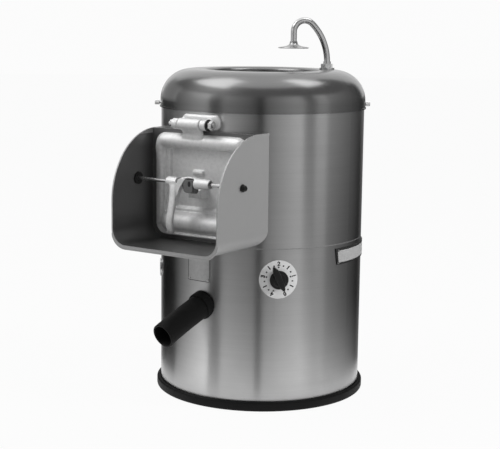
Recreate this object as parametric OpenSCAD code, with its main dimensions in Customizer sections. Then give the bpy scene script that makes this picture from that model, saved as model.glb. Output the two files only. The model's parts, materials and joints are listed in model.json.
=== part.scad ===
// Commercial drum potato peeler, free standing, loaded through the top.
// Millimetres. +Z is up, the origin is under the drum's axis on the floor,
// and the discharge chute faces -Y. In the comments, "front distance" is
// measured along -Y from the drum's axis.

/* [Drum] */
// Outside diameter of the two shells
body_d = 406; // [380:1:440]
// Thickness of the shell sheet
shell_t = 1.6; // [1.2:0.1:2.4]
// Height of the joint between the lower and upper shell
seam_z = 316; // [312:1:322]
// Height of the flange of the chamber pan, seen as the seam line
seam_h = 2; // [1.6:0.1:3]
// How far the rubber bumper stands out of the shell
bumper_out = 8; // [5:0.5:12]
// Height of the rubber bumper
bumper_h = 19; // [16:1:28]

/* [Cover] */
// Height of the cover's bottom lip
lip_z = 570; // [568:1:580]
// Height of the cover's top face
cover_top_z = 645; // [640:1:655]
// Radius of the cover's shoulder
shoulder_r = 60; // [52:1:64]
// Thickness of the cover sheet
cover_t = 1.6; // [1.2:0.1:2.4]
// Diameter of the loading opening
fill_d = 226; // [200:1:236]
// Radius of the rolled-in rim of the loading opening
fill_roll_r = 8; // [6:0.5:10]

/* [Chute] */
// Outside width of the chute
chute_w = 244; // [236:1:256]
// Thickness of the chute sheet
chute_t = 3; // [2:0.1:4]
// Height of the underside of the chute
chute_bottom_z = 320; // [319:1:324]
// Height of the chute's top edge
chute_top_z = 535; // [533:1:540]
// How far the chute reaches out of the drum
chute_reach = 123; // [112:1:140]
// Radius of the rounded top corner of each chute wall
chute_nose_r = 130; // [110:1:140]
// Outside radius of the chute's bottom corners
chute_corner_r = 32; // [20:1:40]

/* [Door] */
// Width of the door's flange
door_w = 212; // [204:1:216]
// Height of the door's bottom edge
door_bottom_z = 331; // [329:1:335]
// How far the door's top edge lies below the chute's top edge
door_drop = 7; // [4:0.5:11]
// Thickness of the door's flange
door_flange_t = 3.2; // [2.6:0.1:3.4]
// Thickness of the recessed door panel
door_panel_t = 4; // [3:0.5:6]
// How far the door overlaps the edge of its opening
door_overlap = 11; // [9:0.5:13]
// Radius of the roll along the door's top
top_roll_r = 14.5; // [12:0.5:17]
// Radius of the roll along the door's bottom
low_roll_r = 18; // [15:0.5:19]
// Thickness of the door gasket
gasket_t = 2.5; // [2:0.1:3]

/* [Hinge and latch] */
// How far the latch rod stands out of the drum
pivot_reach = 47; // [46:0.5:50]
// How far the hinge pin stands out of the drum
hinge_reach = 23; // [22:0.5:25]
// How far the hinge pin lies above the chute's top edge
hinge_rise = 13; // [12:0.5:15]
// How far the hinge lies to the left of the chute's middle
hinge_shift = 13; // [0:1:15]
// Diameter of the hinge pin
hinge_pin_d = 10; // [8:0.5:12]
// Length of the door's hinge barrel
barrel_len = 50; // [44:1:54]
// Height of the latch rod
rod_z = 441; // [438:1:444]
// Diameter of the latch rod
rod_d = 7; // [6:0.5:8]
// Diameter of the lever's hubs
lever_hub_d = 21; // [19:0.5:22]
// Width of the lever's handle
lever_w = 14; // [10:1:16]
// Reach of the cam nose from the rod to the middle of its tip
cam_reach = 24; // [22:0.5:25]

/* [Spout] */
// How far the spout's foot stands in from the start of the cover's shoulder
spout_inset = 11.9; // [9:0.1:14]
// Direction of the spout's foot, from +X towards +Y
spout_angle = 48.3; // [40:0.1:60]
// Outside diameter of the spout tube
spout_d = 12.7; // [10:0.1:14]
// Radius of the long bend
spout_bend_r = 107; // [96:1:118]
// Angle of the long bend
spout_bend_angle = 46; // [40:0.5:50]
// Radius of the tight bend at the top
spout_hook_r = 22.5; // [18:0.5:28]
// Length of the straight end that carries the spray disc
spout_drop = 28; // [22:1:36]
// Diameter of the spray disc
spray_d = 62; // [50:1:70]
// Height of the water inlet pipe
inlet_z = 600; // [599:1:603]
// Diameter of the inlet thread
inlet_d = 21; // [18:0.5:22]

/* [Timer] */
// Direction of the timer, from the front towards +X
timer_angle = 43; // [38:1:50]
// Height of the timer
timer_z = 258; // [240:1:260]
// Diameter of the dial plate
dial_d = 74; // [64:1:80]
// Diameter of the knob's skirt
knob_d = 36; // [30:1:42]
// Length of the knob's pointer bar
pointer_len = 50; // [42:1:56]
// Diameter of the timer's shaft
timer_shaft_d = 6; // [5:0.5:7]

/* [Drain] */
// Height at which the drain hose leaves the shell
drain_z = 200; // [195:1:212]
// Outside diameter of the drain hose
hose_d = 47.5; // [44:0.5:52]
// Inside diameter of the drain hose
hose_bore_d = 40; // [36:0.5:42]
// Slope of the hose below the horizontal
drain_slope = 20; // [14:1:24]
// Turn of the hose towards -X
drain_yaw = 8; // [0:1:12]
// Length of the hose outside the shell
hose_reach = 108; // [80:1:118]

/* [Drive] */
// Gap between the peeling disc and the chamber wall
disc_gap = 6; // [4:0.5:8]
// Thickness of the peeling disc
disc_t = 10; // [8:0.5:14]
// Height of the disc's underside above the seam
disc_lift = 6; // [5:0.5:9]
// Diameter of the main shaft
shaft_d = 20; // [16:0.5:22]
// Distance between the main shaft and the motor shaft
motor_offset = 105; // [104:1:112]
// Diameter of the motor
motor_d = 124; // [110:1:126]
// Pitch radius of the driven pulley
driven_pitch_r = 75; // [70:1:76]
// Pitch radius of the motor pulley
motor_pitch_r = 20; // [17:0.5:21]
// Height of the middle of the belt
belt_z = 204; // [200:1:206]
// Width of the belt
belt_w = 10; // [8:0.5:12]
// Thickness of the belt
belt_t = 7; // [5:0.5:8]

/* [Fits] */
// Radial clearance of a turning fit
run_fit = 0.05; // [0.02:0.01:0.1]
// Clearance between fixed pieces
fit = 0.3; // [0.2:0.05:0.4]

/* [Hidden] */
$fn = 72;
steel = [0.72, 0.72, 0.71];
bright = [0.82, 0.82, 0.81];
cast = [0.76, 0.76, 0.75];
grey = [0.52, 0.52, 0.52];
dark = [0.12, 0.12, 0.12];

body_r = body_d / 2;
shell_in = body_r - shell_t;
lower_top = seam_z - seam_h / 2;
upper_base = seam_z + seam_h / 2;

// Base: the shell and the plate stand on a ledge of the bumper.
ledge_z = 12;
ledge_w = 7;
socket_wall = 3;
socket_h = 18;
plate_r = body_r - ledge_w - fit;
plate_ring_w = 6;
bumper_edge = 3;

// Cover: the sheet slips over the top of the upper shell.
cover_r = body_r + fit + cover_t;
cover_wall_in = body_r + fit;
lip_h = 2.5;
lip_out = 1.5;
shell_top_z = lip_z + 16;
screw_z = lip_z + lip_h + 4.8;
screw_head_r = 4.5;
screw_shank_r = 2.5;
screw_reach = 9.5;
screw_stand = 0.8;
cover_screw_angle = 37;
seal_h = 3.5;
seal_w = 5.4;

// Chamber pan, under the disc.
pan_rim_r = body_r - 0.8;
pan_wall_r = shell_in - 2.4;
pan_wall_t = 4.5;
pan_floor_t = 5;
pan_floor_z = seam_z - 28;
pan_boss_r = 60;
pan_boss_h = 6;
tower_r = 20;
tower_wall = 6;
sump_w = 76;
sump_wall = 4;
sump_back = 104;
sump_front = body_r - 40;
sump_z = drain_z - 8;
stub_in = (body_r - sump_front) / cos(drain_slope) + 8;
stub_wall = 3.7;
stub_r = hose_bore_d / 2;
stub_end = 25;
stub_out = stub_end - fit;
hose_in = 30;
collar_w = 3.25;
collar_len = 10;
clamp_t = 1.4;
clamp_w = 9;
clamp_ear_w = 5;
clamp_ear_h = 7;

// Liner of the chamber.
liner_r = shell_in - fit;
liner_t = 4;
liner_base = upper_base + 3;
liner_top = chute_top_z + 3;

// Chute and door frame.
chute_front = body_r + chute_reach;
chute_in = chute_w / 2 - chute_t;
frame_front = body_r + 2;
door_top_z = chute_top_z - door_drop;
hinge_z = chute_top_z + hinge_rise;
opening_w = door_w - 2 * door_overlap;
sill_rise = 20;
opening_base = door_bottom_z + sill_rise;
opening_top = door_top_z - door_overlap - 2;
opening_corner = 18;

// Door, from back to front.
gasket_back = frame_front + fit;
flange_back = gasket_back + gasket_t;
flange_front = flange_back + door_flange_t;
panel_front = frame_front - 5;
panel_back = panel_front - door_panel_t;
panel_gap = 7;
panel_wall = 4;
panel_w = opening_w - 2 * panel_gap;
panel_base = opening_base + panel_gap;
panel_top = opening_top - panel_gap;
door_corner = 22;
roll_back = frame_front + 3;
roll_inset = 18;
roll_len = door_w - 2 * roll_inset;
low_roll_rise = 8;
stop_x = [-25, 1];
stop_rise = 9;
stop_h = 8;
stop_out = 5;

// Front distances of the latch rod and the hinge pin.
pivot = body_r + pivot_reach;
hinge_out = body_r + hinge_reach;
barrel_r = hinge_pin_d / 2 + 6;
knuckle_r = barrel_r - 1;
knuckle_len = 14;
knuckle_gap = 1.3;
knuckle_x = barrel_len / 2 + knuckle_gap;
pin_bore_r = hinge_pin_d / 2 + run_fit;
hood_w = 104;
hood_h = 24;
hood_t = 9;
hood_corner = 11;
hood_base = chute_top_z + 2;
hinge_nut_r = 12;
hinge_nut_len = 12;
hinge_washer_t = 3;
pin_tail = 4;
pin_end = 9;
pin_end_r = 3;
pin_head_w = 2.5;
hinge_turn = -asin(hinge_shift / body_r);
hinge_bolt_turn = 5;
hinge_bolt_z = hinge_z - 4;
bolt_r = 3;
bolt_head_r = 5.5;
bolt_head_h = 4;
foot_bolt_r = 4;
foot_bolt_head_r = 6;

// Latch. X places are seen from the front, with +X on the right.
rod_r = rod_d / 2;
hub_r = lever_hub_d / 2;
left_hub = [-50, -23];
right_hub = [14, 52];
cam_x = [-19.5, 11.5];
cam_barrel_r = 7;
cam_tip_r = 5;
cam_down = 50;
handle_x = -33;
handle_t = 6;
// Middle line of the handle, from the rod: forward and up.
handle_line = [[0, -4], [1, -21], [11, -41], [16, -58], [17, -75], [12, -90], [6, -98]];
arch_x = -9;
arch_drop = 24;
arch_r = 28;
arch_w = 10;
arch_start = 28;
arch_sweep = 157;
socket_w = 3;
cam_back = pivot - cam_reach * cos(cam_down) - cam_tip_r;
pad_front = cam_back - 0.4;
pad_top = rod_z - 14;
pad_h = 19;
pad_chamfer = 3;
nut_r = 7.5;
nut_len = 4;
washer_r = 12;
washer_t = 2;

// Spout and inlet.
spout_tube_r = spout_d / 2;
spout_wall = 1.5;
spout_r = cover_r - shoulder_r - spout_inset;
neck_nut_w = 1.6;
neck_nut_h = 2.5;
spout_x = spout_r * cos(spout_angle);
spout_y = spout_r * sin(spout_angle);
spout_foot_z = cover_top_z - 35;
stem_r = spout_tube_r + 4;
spout_flange_w = 5;
spout_flange_h = 3;
spout_hex_w = 2.5;
spout_hex_h = 8;
spout_nut_h = 7;
spray_edge = 2.5;
spray_under = 5;
spray_cone = 3;
spray_hub_h = 9;
spray_hub_w = 3;
spray_hole_r = 1.2;
inlet_boss = 18;
inlet_pipe_r = 8;
inlet_bore_r = 5.5;
inlet_len = 20;
inlet_end = body_r + 12;

// Timer: its frame has +Z outward and +Y up.
dial_t = 1;
timer_size = 48;
timer_depth = 34;
timer_shaft_in = 21;
timer_face = -(shell_t + 2.4);
bush_r = timer_shaft_d / 2 + 2;
timer_nut_r = 8;
timer_nut_h = 2.5;
knob_base = dial_t + fit + timer_nut_h + 1;
knob_skirt_h = 4;
knob_h = 16;
pointer_w = 11;
pointer_tip = 8;
pointer_chamfer = 3;
pointer_turn = 24;

// Plates on the shell: first and last direction from the front, low and high edge.
data_turn = [-10, 5];
data_rise = [245, 295];
badge_turn = [79, 125];
badge_rise = [276, 308];
plate_t = 0.8;
badge_t = 2;
rivet_r = 1.3;
rivet_head_r = 2.4;
rivet_inset_turn = 1.3;
rivet_inset_z = 4;
cap_turn = -50;
cap_z = 244.5;
cap_r = 18;
cap_plug_r = 12;
gland_angle = 156;
gland_z = 70;
gland_bore_r = 5;
gland_thread_r = 9;
gland_nut_r = 13;
gland_in = 12;
gland_out = 15;
lead_gap = 1.6;

// Disc, shaft and bearings.
disc_r = liner_r - liner_t - disc_gap;
disc_z = seam_z + disc_lift;
disc_top = disc_z + disc_t;
wave_r = 12;
wave_sink = 6;
wave_in = 38;
wave_edge = 8;
shaft_r = shaft_d / 2;
shaft_base = belt_z - 18;
stud_r = 5;
stud_h = 10;
cap_flange_r = 15;
cap_flange_h = 4;
cap_hex_r = 9;
cap_hex_h = 5;
boss_r = 24;
boss_h = 6;
hub_skirt_r = tower_r + 12;
hub_skirt_in = tower_r + 2.5;
hub_skirt_z = pan_floor_z + pan_floor_t + pan_boss_h + 4;
tower_top = disc_z - 6;
bearing_r = shaft_r + 13.5;
bearing_h = 14;
race_w = 4;
shield_sink = 1;
housing_wall = 9.5;
housing_r = bearing_r + housing_wall;
housing_base = belt_z + 14;
housing_flange_r = 55;
housing_flange_h = 8;
housing_bolt_r = 47;
housing_step = 4;

// Belt drive. Both pulleys have the belt's groove.
belt_in = belt_t / 2;
pulley_flange = 0.5;
groove_w = belt_w + 2 * fit;
pulley_w = belt_w + 8;
pulley_hub_r = 20;
pulley_hub_h = 3;
pulley_web_t = 6;
pulley_rim_w = 8;
motor_r = motor_d / 2;
foot_t = 6;
foot_w = motor_d;
foot_bolt = motor_r - 10;
motor_base = ledge_z + foot_t;
motor_neck = 44;
motor_top = belt_z - motor_neck;
bell_h = 12;
motor_wall = 4;
motor_shaft_r = 7;
rotor_r = 39.4;
stator_in = 40;
stator_lift = 22;
stator_drop = 30;
stator_base = motor_base + stator_lift;
stator_top = motor_top - stator_drop;
cap_can_r = 18;
cap_can_h = 95;
cap_can_x = -118;
cap_can_y = -10;
terminal_r = 2;
terminal_x = 7;
terminal_h = 7;

// Middle lines of the two inner leads. They lie along the shell and the base plate.
lead_r = 3.5;
lead_wall_r = shell_in - lead_r - 2 * fit;
lead_floor = ledge_z + lead_r + 2 * fit;
lead_end_z = timer_z - timer_size / 2 - fit - 0.2;
lead_end_r = body_r - 22;
function at_turn(r, turn, z) = [r * sin(turn), -r * cos(turn), z];
supply_turn = timer_angle + 4;
gland_end = shell_in - gland_in - lead_gap;
supply_route = concat(
    [at_turn(gland_end, gland_angle, gland_z), at_turn(gland_end - 9, gland_angle, gland_z),
        at_turn(gland_end - 17, gland_angle - 8, gland_z + 1)],
    [for (a = [gland_angle - 22:-19:supply_turn + 10])
        let(rise = (gland_angle - a) / (gland_angle - supply_turn))
        at_turn(lead_wall_r, a, gland_z + (lead_end_z - gland_z) * rise * 0.85)],
    [at_turn(lead_end_r, supply_turn, lead_end_z - 11), at_turn(lead_end_r, supply_turn, lead_end_z)]);
motor_turn = timer_angle - 4;
motor_plug_z = 40;
motor_route = [
    at_turn(lead_end_r, motor_turn, lead_end_z), at_turn(lead_end_r, motor_turn, lead_end_z - 11),
    at_turn(lead_wall_r, motor_turn, lead_end_z - 33), at_turn(lead_wall_r, motor_turn, lead_end_z - 88),
    at_turn(lead_wall_r, motor_turn + 1, 90), at_turn(lead_wall_r - 4, motor_turn + 3, 52),
    at_turn(lead_wall_r - 18, motor_turn + 8, 27), at_turn(lead_wall_r - 45, motor_turn + 15, lead_floor),
    [motor_r + 52, -20, lead_floor], [motor_r + 40, 40, lead_floor],
    [motor_r + 30, motor_offset - 26, lead_floor + 5], [motor_r + 14, motor_offset - 3, motor_plug_z - 4],
    [motor_r + 6, motor_offset, motor_plug_z], [motor_r + 2 * fit, motor_offset, motor_plug_z]];

// ---- Helpers ----

module tube(outer, inner, low, high)
    translate([0, 0, low])
        difference() {
            cylinder(r = outer, h = high - low);
            translate([0, 0, -1]) cylinder(r = inner, h = high - low + 2);
        }

module cylinder_between(r, low, high) translate([0, 0, low]) cylinder(r = r, h = high - low);

// A hole through the sheets at a place on the shell.
module through(r) cylinder_between(r, -12, 12);

// A flat shape drawn with (X, height), from one front distance to another.
module front_shape(near, far)
    translate([0, -near, 0]) rotate([90, 0, 0]) linear_extrude(far - near) children();

// A flat shape drawn with (front distance, height), from one X to another.
module side_shape(low, high)
    translate([high, 0, 0]) rotate([90, 0, -90]) linear_extrude(high - low) children();

// A bar along X, at a front distance and a height.
module x_bar(r, low, high, front, z)
    translate([low, -front, z]) rotate([0, 90, 0]) cylinder(r = r, h = high - low);

// A place on the shell: origin on its surface, +Z outward, +Y up.
module on_shell(turn, z)
    rotate([0, 0, turn]) translate([0, -body_r, z]) rotate([90, 0, 0]) children();

// A place on the hose's middle line: origin at the shell, +Z down the hose.
module on_drain()
    translate([0, -body_r, drain_z]) rotate([0, 0, -drain_yaw]) rotate([90 + drain_slope, 0, 0])
        children();

// A place at the spout's foot, with +X towards the drum's axis.
module on_spout()
    translate([spout_x, spout_y, 0]) rotate([0, 0, spout_angle + 180]) children();

// A rectangle with round corners, centred on X.
module rounded(w, low, high, r) {
    translate([-w / 2 + r, low]) square([w - 2 * r, high - low]);
    translate([-w / 2, low + r]) square([w, high - low - 2 * r]);
    for (x = [-w / 2 + r, w / 2 - r], z = [low + r, high - r]) translate([x, z]) circle(r);
}

// The same with square top corners.
module u_shape(w, low, high, r) {
    translate([-w / 2 + r, low]) square([w - 2 * r, high - low]);
    translate([-w / 2, low + r]) square([w, high - low - r]);
    for (x = [-w / 2 + r, w / 2 - r]) translate([x, low + r]) circle(r);
}

// A curved plate on the shell, given by two directions and two heights.
module shell_plate(turns, rise, back, thick)
    rotate([0, 0, turns[0] - 90])
        rotate_extrude(angle = turns[1] - turns[0])
            translate([body_r + back, rise[0]]) square([thick, rise[1] - rise[0]]);

// The outline of a belt round two circles, one at the origin and one along +Y.
module two_circle_outline(r1, r2, gap) {
    s = (r1 - r2) / gap;
    c = sqrt(1 - s * s);
    circle(r1);
    translate([0, gap]) circle(r2);
    polygon([[-r1 * c, r1 * s], [r1 * c, r1 * s], [r2 * c, gap + r2 * s], [-r2 * c, gap + r2 * s]]);
}

// A strip of even thickness along a line of points.
function strip_dir(p, i) = let(a = p[max(i - 1, 0)], b = p[min(i + 1, len(p) - 1)], d = b - a) d / norm(d);
function strip_side(p, t) = [for (i = [0:len(p) - 1]) let(d = strip_dir(p, i)) p[i] + [-d[1], d[0]] * t];
module strip(p, t) {
    left = strip_side(p, t / 2);
    right = strip_side(p, -t / 2);
    polygon(concat(left, [for (i = [len(right) - 1:-1:0]) right[i]]));
}

// Round skins along a route: rings of points joined into one closed surface.
neck_sides = 16;
lead_sides = 8;
lead_steps = 3;
function unit(v) = v / norm(v);
function route_at(p, i, t) = let(
    n = len(p) - 1,
    a = p[max(i - 1, 0)], b = p[i], c = p[min(i + 1, n)], d = p[min(i + 2, n)])
    0.5 * (2 * b + (c - a) * t + (2 * a - 5 * b + 4 * c - d) * t * t + (3 * b - a - 3 * c + d) * t * t * t);
function fine_route(p) = concat(
    [for (i = [0:len(p) - 2], k = [0:lead_steps - 1]) route_at(p, i, k / lead_steps)],
    [p[len(p) - 1]]);
function ring_at(q, i, r, side, sides) = let(
    d = unit(q[min(i + 1, len(q) - 1)] - q[max(i - 1, 0)]),
    u = unit(cross(d, side)),
    v = cross(d, u))
    [for (k = [0:sides - 1]) let(a = -360 * k / sides) q[i] + r * (cos(a) * u + sin(a) * v)];
function skin_points(q, r, side, sides) = [for (i = [0:len(q) - 1]) each ring_at(q, i, r, side, sides)];
function skin_faces(m, sides, from) = [for (i = [0:m - 2], k = [0:sides - 1]) let(n = (k + 1) % sides,
    a = from + i * sides, b = a + sides) each [[a + k, b + k, b + n], [a + k, b + n, a + n]]];
function flipped(faces) = [for (f = faces) [f[2], f[1], f[0]]];

module lead(p) {
    q = fine_route(p);
    last = (len(q) - 1) * lead_sides;
    low_end = [for (k = [0:lead_sides - 1]) k];
    high_end = [for (k = [lead_sides - 1:-1:0]) last + k];
    polyhedron(skin_points(q, lead_r, [0.3, 0.2, 1], lead_sides),
        concat(skin_faces(len(q), lead_sides, 0), [low_end, high_end]));
}

// A bent tube along points that lie in one plane; side is square to that plane.
module hollow_sweep(q, outer, inner, side) {
    n = neck_sides;
    m = len(q);
    shift = m * n;
    last = shift - n;
    low_end = [for (k = [0:n - 1]) [k, (k + 1) % n, shift + (k + 1) % n, shift + k]];
    high_end = [for (k = [0:n - 1])
        [last + (k + 1) % n, last + k, shift + last + k, shift + last + (k + 1) % n]];
    polyhedron(concat(skin_points(q, outer, side, n), skin_points(q, inner, side, n)),
        concat(skin_faces(m, n, 0), flipped(skin_faces(m, n, shift)), low_end, high_end));
}

// ---- Base and shells ----

module base_bumper() color(dark)
    rotate_extrude() {
        out = body_r + bumper_out;
        polygon([[plate_r + fit, 0], [out - bumper_edge, 0], [out, bumper_edge],
            [out, bumper_h - bumper_edge], [out - bumper_edge, bumper_h],
            [body_r + fit, bumper_h], [body_r + fit, ledge_z], [plate_r + fit, ledge_z]]);
    }

module base_plate() color(grey)
    difference() {
        union() {
            cylinder(r = plate_r, h = ledge_z);
            tube(shell_in - fit, shell_in - fit - 2 * plate_ring_w, ledge_z, 2 * ledge_z);
            // socket that holds the capacitor
            translate([cap_can_x, cap_can_y, 0])
                tube(cap_can_r + fit + socket_wall, cap_can_r + fit, ledge_z - 1, ledge_z + socket_h);
        }
        at_foot_bolts() cylinder_between(foot_bolt_r + fit, ledge_z / 4, ledge_z + 1);
    }

module lower_shell() color(steel)
    difference() {
        tube(body_r, shell_in, ledge_z, lower_top);
        on_drain() cylinder_between(hose_d / 2 + fit, -hose_in, hose_in);
        on_shell(timer_angle, timer_z) through(bush_r + fit);
        on_shell(cap_turn, cap_z) through(cap_plug_r + fit);
        on_shell(gland_angle, gland_z) through(gland_thread_r + fit);
        at_rivets() through(rivet_r + fit / 3);
    }

module upper_shell() color(steel)
    difference() {
        tube(body_r, shell_in, upper_base, shell_top_z);
        door_opening(0);
        at_hinge_bolts() through(bolt_r + fit);
        at_cover_screws() through(screw_shank_r + fit);
    }

// The opening behind the door, cut through the front of the drum.
module door_opening(grow)
    front_shape(0, chute_front)
        rounded(opening_w + 2 * grow, opening_base - grow, opening_top + grow, opening_corner);

module abrasive_liner() color([0.35, 0.34, 0.32])
    difference() {
        tube(liner_r, liner_r - liner_t, liner_base, liner_top);
        door_opening(3);
    }

module chamber_pan() color(cast) {
    floor_top = pan_floor_z + pan_floor_t;
    difference() {
        union() {
            rotate_extrude() {
                translate([pan_wall_r - pan_wall_t, lower_top])
                    square([pan_rim_r - pan_wall_r + pan_wall_t, seam_h]);
                translate([pan_wall_r - pan_wall_t, pan_floor_z])
                    square([pan_wall_t, upper_base - pan_floor_z]);
                translate([tower_r - tower_wall, pan_floor_z])
                    square([pan_wall_r - tower_r + tower_wall, pan_floor_t]);
                translate([tower_r - tower_wall, pan_floor_z])
                    square([pan_boss_r - tower_r + tower_wall, pan_floor_t + pan_boss_h]);
                translate([tower_r - tower_wall, pan_floor_z])
                    square([tower_wall, tower_top - pan_floor_z]);
            }
            translate([-sump_w / 2, -sump_front, sump_z])
                cube([sump_w, sump_front - sump_back, pan_floor_z - sump_z + 1]);
            on_drain() cylinder_between(stub_r, -stub_in, stub_out);
        }
        translate([-sump_w / 2 + sump_wall, sump_wall - sump_front, sump_z + sump_wall])
            cube([sump_w - 2 * sump_wall, sump_front - sump_back - 2 * sump_wall,
                floor_top - sump_z]);
        on_drain() cylinder_between(stub_r - stub_wall, -stub_in - 6, stub_out + 1);
        at_housing_bolts() cylinder_between(bolt_r + fit, pan_floor_z - 1, floor_top + pan_boss_h - 2);
    }
}

// ---- Cover ----

// Outline of the cover's outer face from the lip to the loading opening, set in by t.
module cover_outline(t) {
    r = shoulder_r;
    cx = cover_r - r;
    cz = cover_top_z - r;
    start = fill_d / 2 + fill_roll_r;
    translate([start, lip_z - 1]) square([cx - start, cover_top_z - t - lip_z + 1]);
    translate([start, lip_z - 1]) square([cover_r - t - start, cz - lip_z + 1]);
    translate([cx, cz]) circle(r - t);
}

module cover() color(bright)
    difference() {
        rotate_extrude() {
            intersection() {
                difference() {
                    cover_outline(0);
                    cover_outline(cover_t);
                }
                translate([fill_d / 2 + fill_roll_r, lip_z]) square([body_r, cover_top_z]);
            }
            // rolled-in rim of the loading opening
            intersection() {
                translate([fill_d / 2 + fill_roll_r, cover_top_z - fill_roll_r])
                    difference() {
                        circle(fill_roll_r);
                        circle(fill_roll_r - cover_t);
                    }
                translate([0, cover_top_z - 1.6 * fill_roll_r])
                    square([fill_d / 2 + fill_roll_r + 0.01, 2 * fill_roll_r]);
            }
            // lip round the bottom edge
            translate([cover_wall_in, lip_z]) square([cover_t + lip_out, lip_h]);
        }
        on_spout() cylinder_between(stem_r + fit, lip_z, cover_top_z + 1);
        at_inlet() cylinder(r = inlet_d / 2 + fit, h = body_r);
        at_cover_screws() through(screw_shank_r + fit);
    }

module rim_seal() color(dark)
    tube(body_r, body_r - seal_w, shell_top_z, shell_top_z + seal_h);

module at_cover_screws()
    for (a = [cover_screw_angle, cover_screw_angle + 180]) on_shell(a + 90, screw_z) children();

module cover_screws() color([0.6, 0.6, 0.6])
    at_cover_screws() {
        head_base = fit + cover_t + lip_out + screw_stand;
        cylinder_between(screw_shank_r, -shell_t - 4, head_base + 1);
        cylinder_between(screw_head_r, head_base, head_base + screw_reach - fit - cover_t);
    }

// ---- Spout and water inlet ----

module at_inlet()
    translate([spout_x, spout_y, inlet_z]) rotate([-90, 0, 0]) children();

module spout_fitting() color(bright)
    difference() {
        union() {
            on_spout() {
                flange_top = cover_top_z + spout_flange_h;
                cylinder_between(stem_r, inlet_z - inlet_d / 2, cover_top_z);
                cylinder_between(stem_r + spout_flange_w, cover_top_z, flange_top);
                translate([0, 0, flange_top]) cylinder(r = stem_r + spout_hex_w, h = spout_hex_h, $fn = 6);
            }
            at_inlet() cylinder(r = inlet_pipe_r, h = inlet_boss);
        }
        on_spout() cylinder_between(spout_tube_r + run_fit, spout_foot_z, straight_z);
        on_spout() cylinder_between(spout_tube_r - 1, inlet_z, cover_top_z);
        at_inlet() cylinder(r = inlet_bore_r, h = inlet_boss + 1);
    }

module spout_nut() color(bright)
    on_spout() difference() {
        base = cover_top_z - cover_t - fit - spout_nut_h;
        translate([0, 0, base]) cylinder(r = stem_r + spout_flange_w, h = spout_nut_h, $fn = 6);
        cylinder_between(stem_r + fit / 3, base - 1, cover_top_z);
    }

module water_inlet() color(bright)
    at_inlet() difference() {
        total = inlet_end - spout_y;
        union() {
            cylinder_between(inlet_pipe_r, inlet_boss, total);
            cylinder_between(inlet_d / 2, total - inlet_len, total);
        }
        cylinder_between(inlet_bore_r, inlet_boss - 1, total + 1);
    }

// Places on the gooseneck's middle line, seen from the spout's foot.
straight_z = cover_top_z + spout_flange_h + spout_hex_h + 2.3;
bend_z = straight_z + 0.7;
long_x = spout_bend_r * (1 - cos(spout_bend_angle));
long_z = bend_z + spout_bend_r * sin(spout_bend_angle);
hook_x = long_x + spout_hook_r * cos(spout_bend_angle);
hook_z = long_z - spout_hook_r * sin(spout_bend_angle);
spout_end_x = hook_x + spout_hook_r;
spout_end_z = hook_z - spout_drop;

// Points round a bend in the plane of +X and +Z, from one angle to another.
function bend_points(cx, cz, r, from, to, steps) = [for (i = [1:steps])
    let(a = from + (to - from) * i / steps) [cx + r * cos(a), 0, cz + r * sin(a)]];
neck_line = concat(
    [[0, 0, straight_z]],
    bend_points(spout_bend_r, bend_z, spout_bend_r, 180, 180 - spout_bend_angle, 18),
    bend_points(hook_x, hook_z, spout_hook_r, 180 - spout_bend_angle, 0, 12),
    [[spout_end_x, 0, spout_end_z]]);

// The foot turns in the fitting, and its nut holds the bent tube.
module spout_foot() color(bright)
    on_spout() difference() {
        union() {
            cylinder_between(spout_tube_r, spout_foot_z + 0.5, straight_z);
            cylinder_between(spout_tube_r + neck_nut_w, straight_z - 2, straight_z + neck_nut_h);
        }
        cylinder_between(spout_tube_r - spout_wall, spout_foot_z, straight_z + 1);
        cylinder_between(spout_tube_r + fit / 3, straight_z, straight_z + neck_nut_h + 1);
    }

module gooseneck() color(bright)
    on_spout() hollow_sweep(neck_line, spout_tube_r, spout_tube_r - spout_wall, [0, 1, 0]);

module spray_disc() color(bright)
    on_spout() translate([spout_end_x, 0, spout_end_z]) difference() {
        r = spray_d / 2;
        hub = spout_tube_r + spray_hub_w;
        rotate_extrude() polygon([[0, -spray_under], [r, -spray_under], [r, spray_edge - spray_under],
            [hub + 1, spray_cone], [hub, spray_cone], [hub, spray_hub_h], [0, spray_hub_h]]);
        cylinder_between(spout_tube_r + fit / 3, 0, spray_hub_h + 1);
        cylinder_between(spout_tube_r - spout_wall, 2 - spray_under, 1);
        for (a = [0:60:359]) rotate([0, 0, a]) translate([0.6 * r, 0, 0])
            cylinder_between(spray_hole_r, -spray_under - 1, -spray_under + 1.4);
    }

// ---- Chute, frame and door ----

module chute_side_outline() {
    cf = chute_front - chute_nose_r;
    translate([0, chute_bottom_z]) square([cf, chute_top_z - chute_bottom_z]);
    translate([0, chute_bottom_z])
        square([chute_front, chute_top_z - chute_nose_r - chute_bottom_z]);
    translate([cf, chute_top_z - chute_nose_r]) circle(chute_nose_r);
}

module chute() color(grey)
    difference() {
        intersection() {
            front_shape(0, chute_front) difference() {
                u_shape(chute_w, chute_bottom_z, chute_top_z, chute_corner_r);
                u_shape(2 * chute_in, chute_bottom_z + chute_t, chute_top_z + 1,
                    chute_corner_r - chute_t);
            }
            side_shape(-chute_w, chute_w) chute_side_outline();
        }
        translate([0, 0, chute_bottom_z - 1]) cylinder(r = body_r + fit, h = chute_top_z);
        x_bar(rod_r + fit, -chute_w, chute_w, pivot, rod_z);
    }

module door_frame() color(steel)
    difference() {
        front_shape(0, frame_front)
            u_shape(2 * (chute_in - fit), chute_bottom_z + chute_t + fit, chute_top_z,
                chute_corner_r - chute_t);
        translate([0, 0, chute_bottom_z - 1]) cylinder(r = body_r + fit, h = chute_top_z);
        door_opening(0);
    }

module door_gasket() color(dark)
    front_shape(gasket_back, flange_back) difference() {
        rounded(door_w - 4, door_bottom_z + 3, door_top_z - 3, door_corner);
        rounded(opening_w - 6, opening_base + 3, opening_top - 3, opening_corner);
    }

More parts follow.
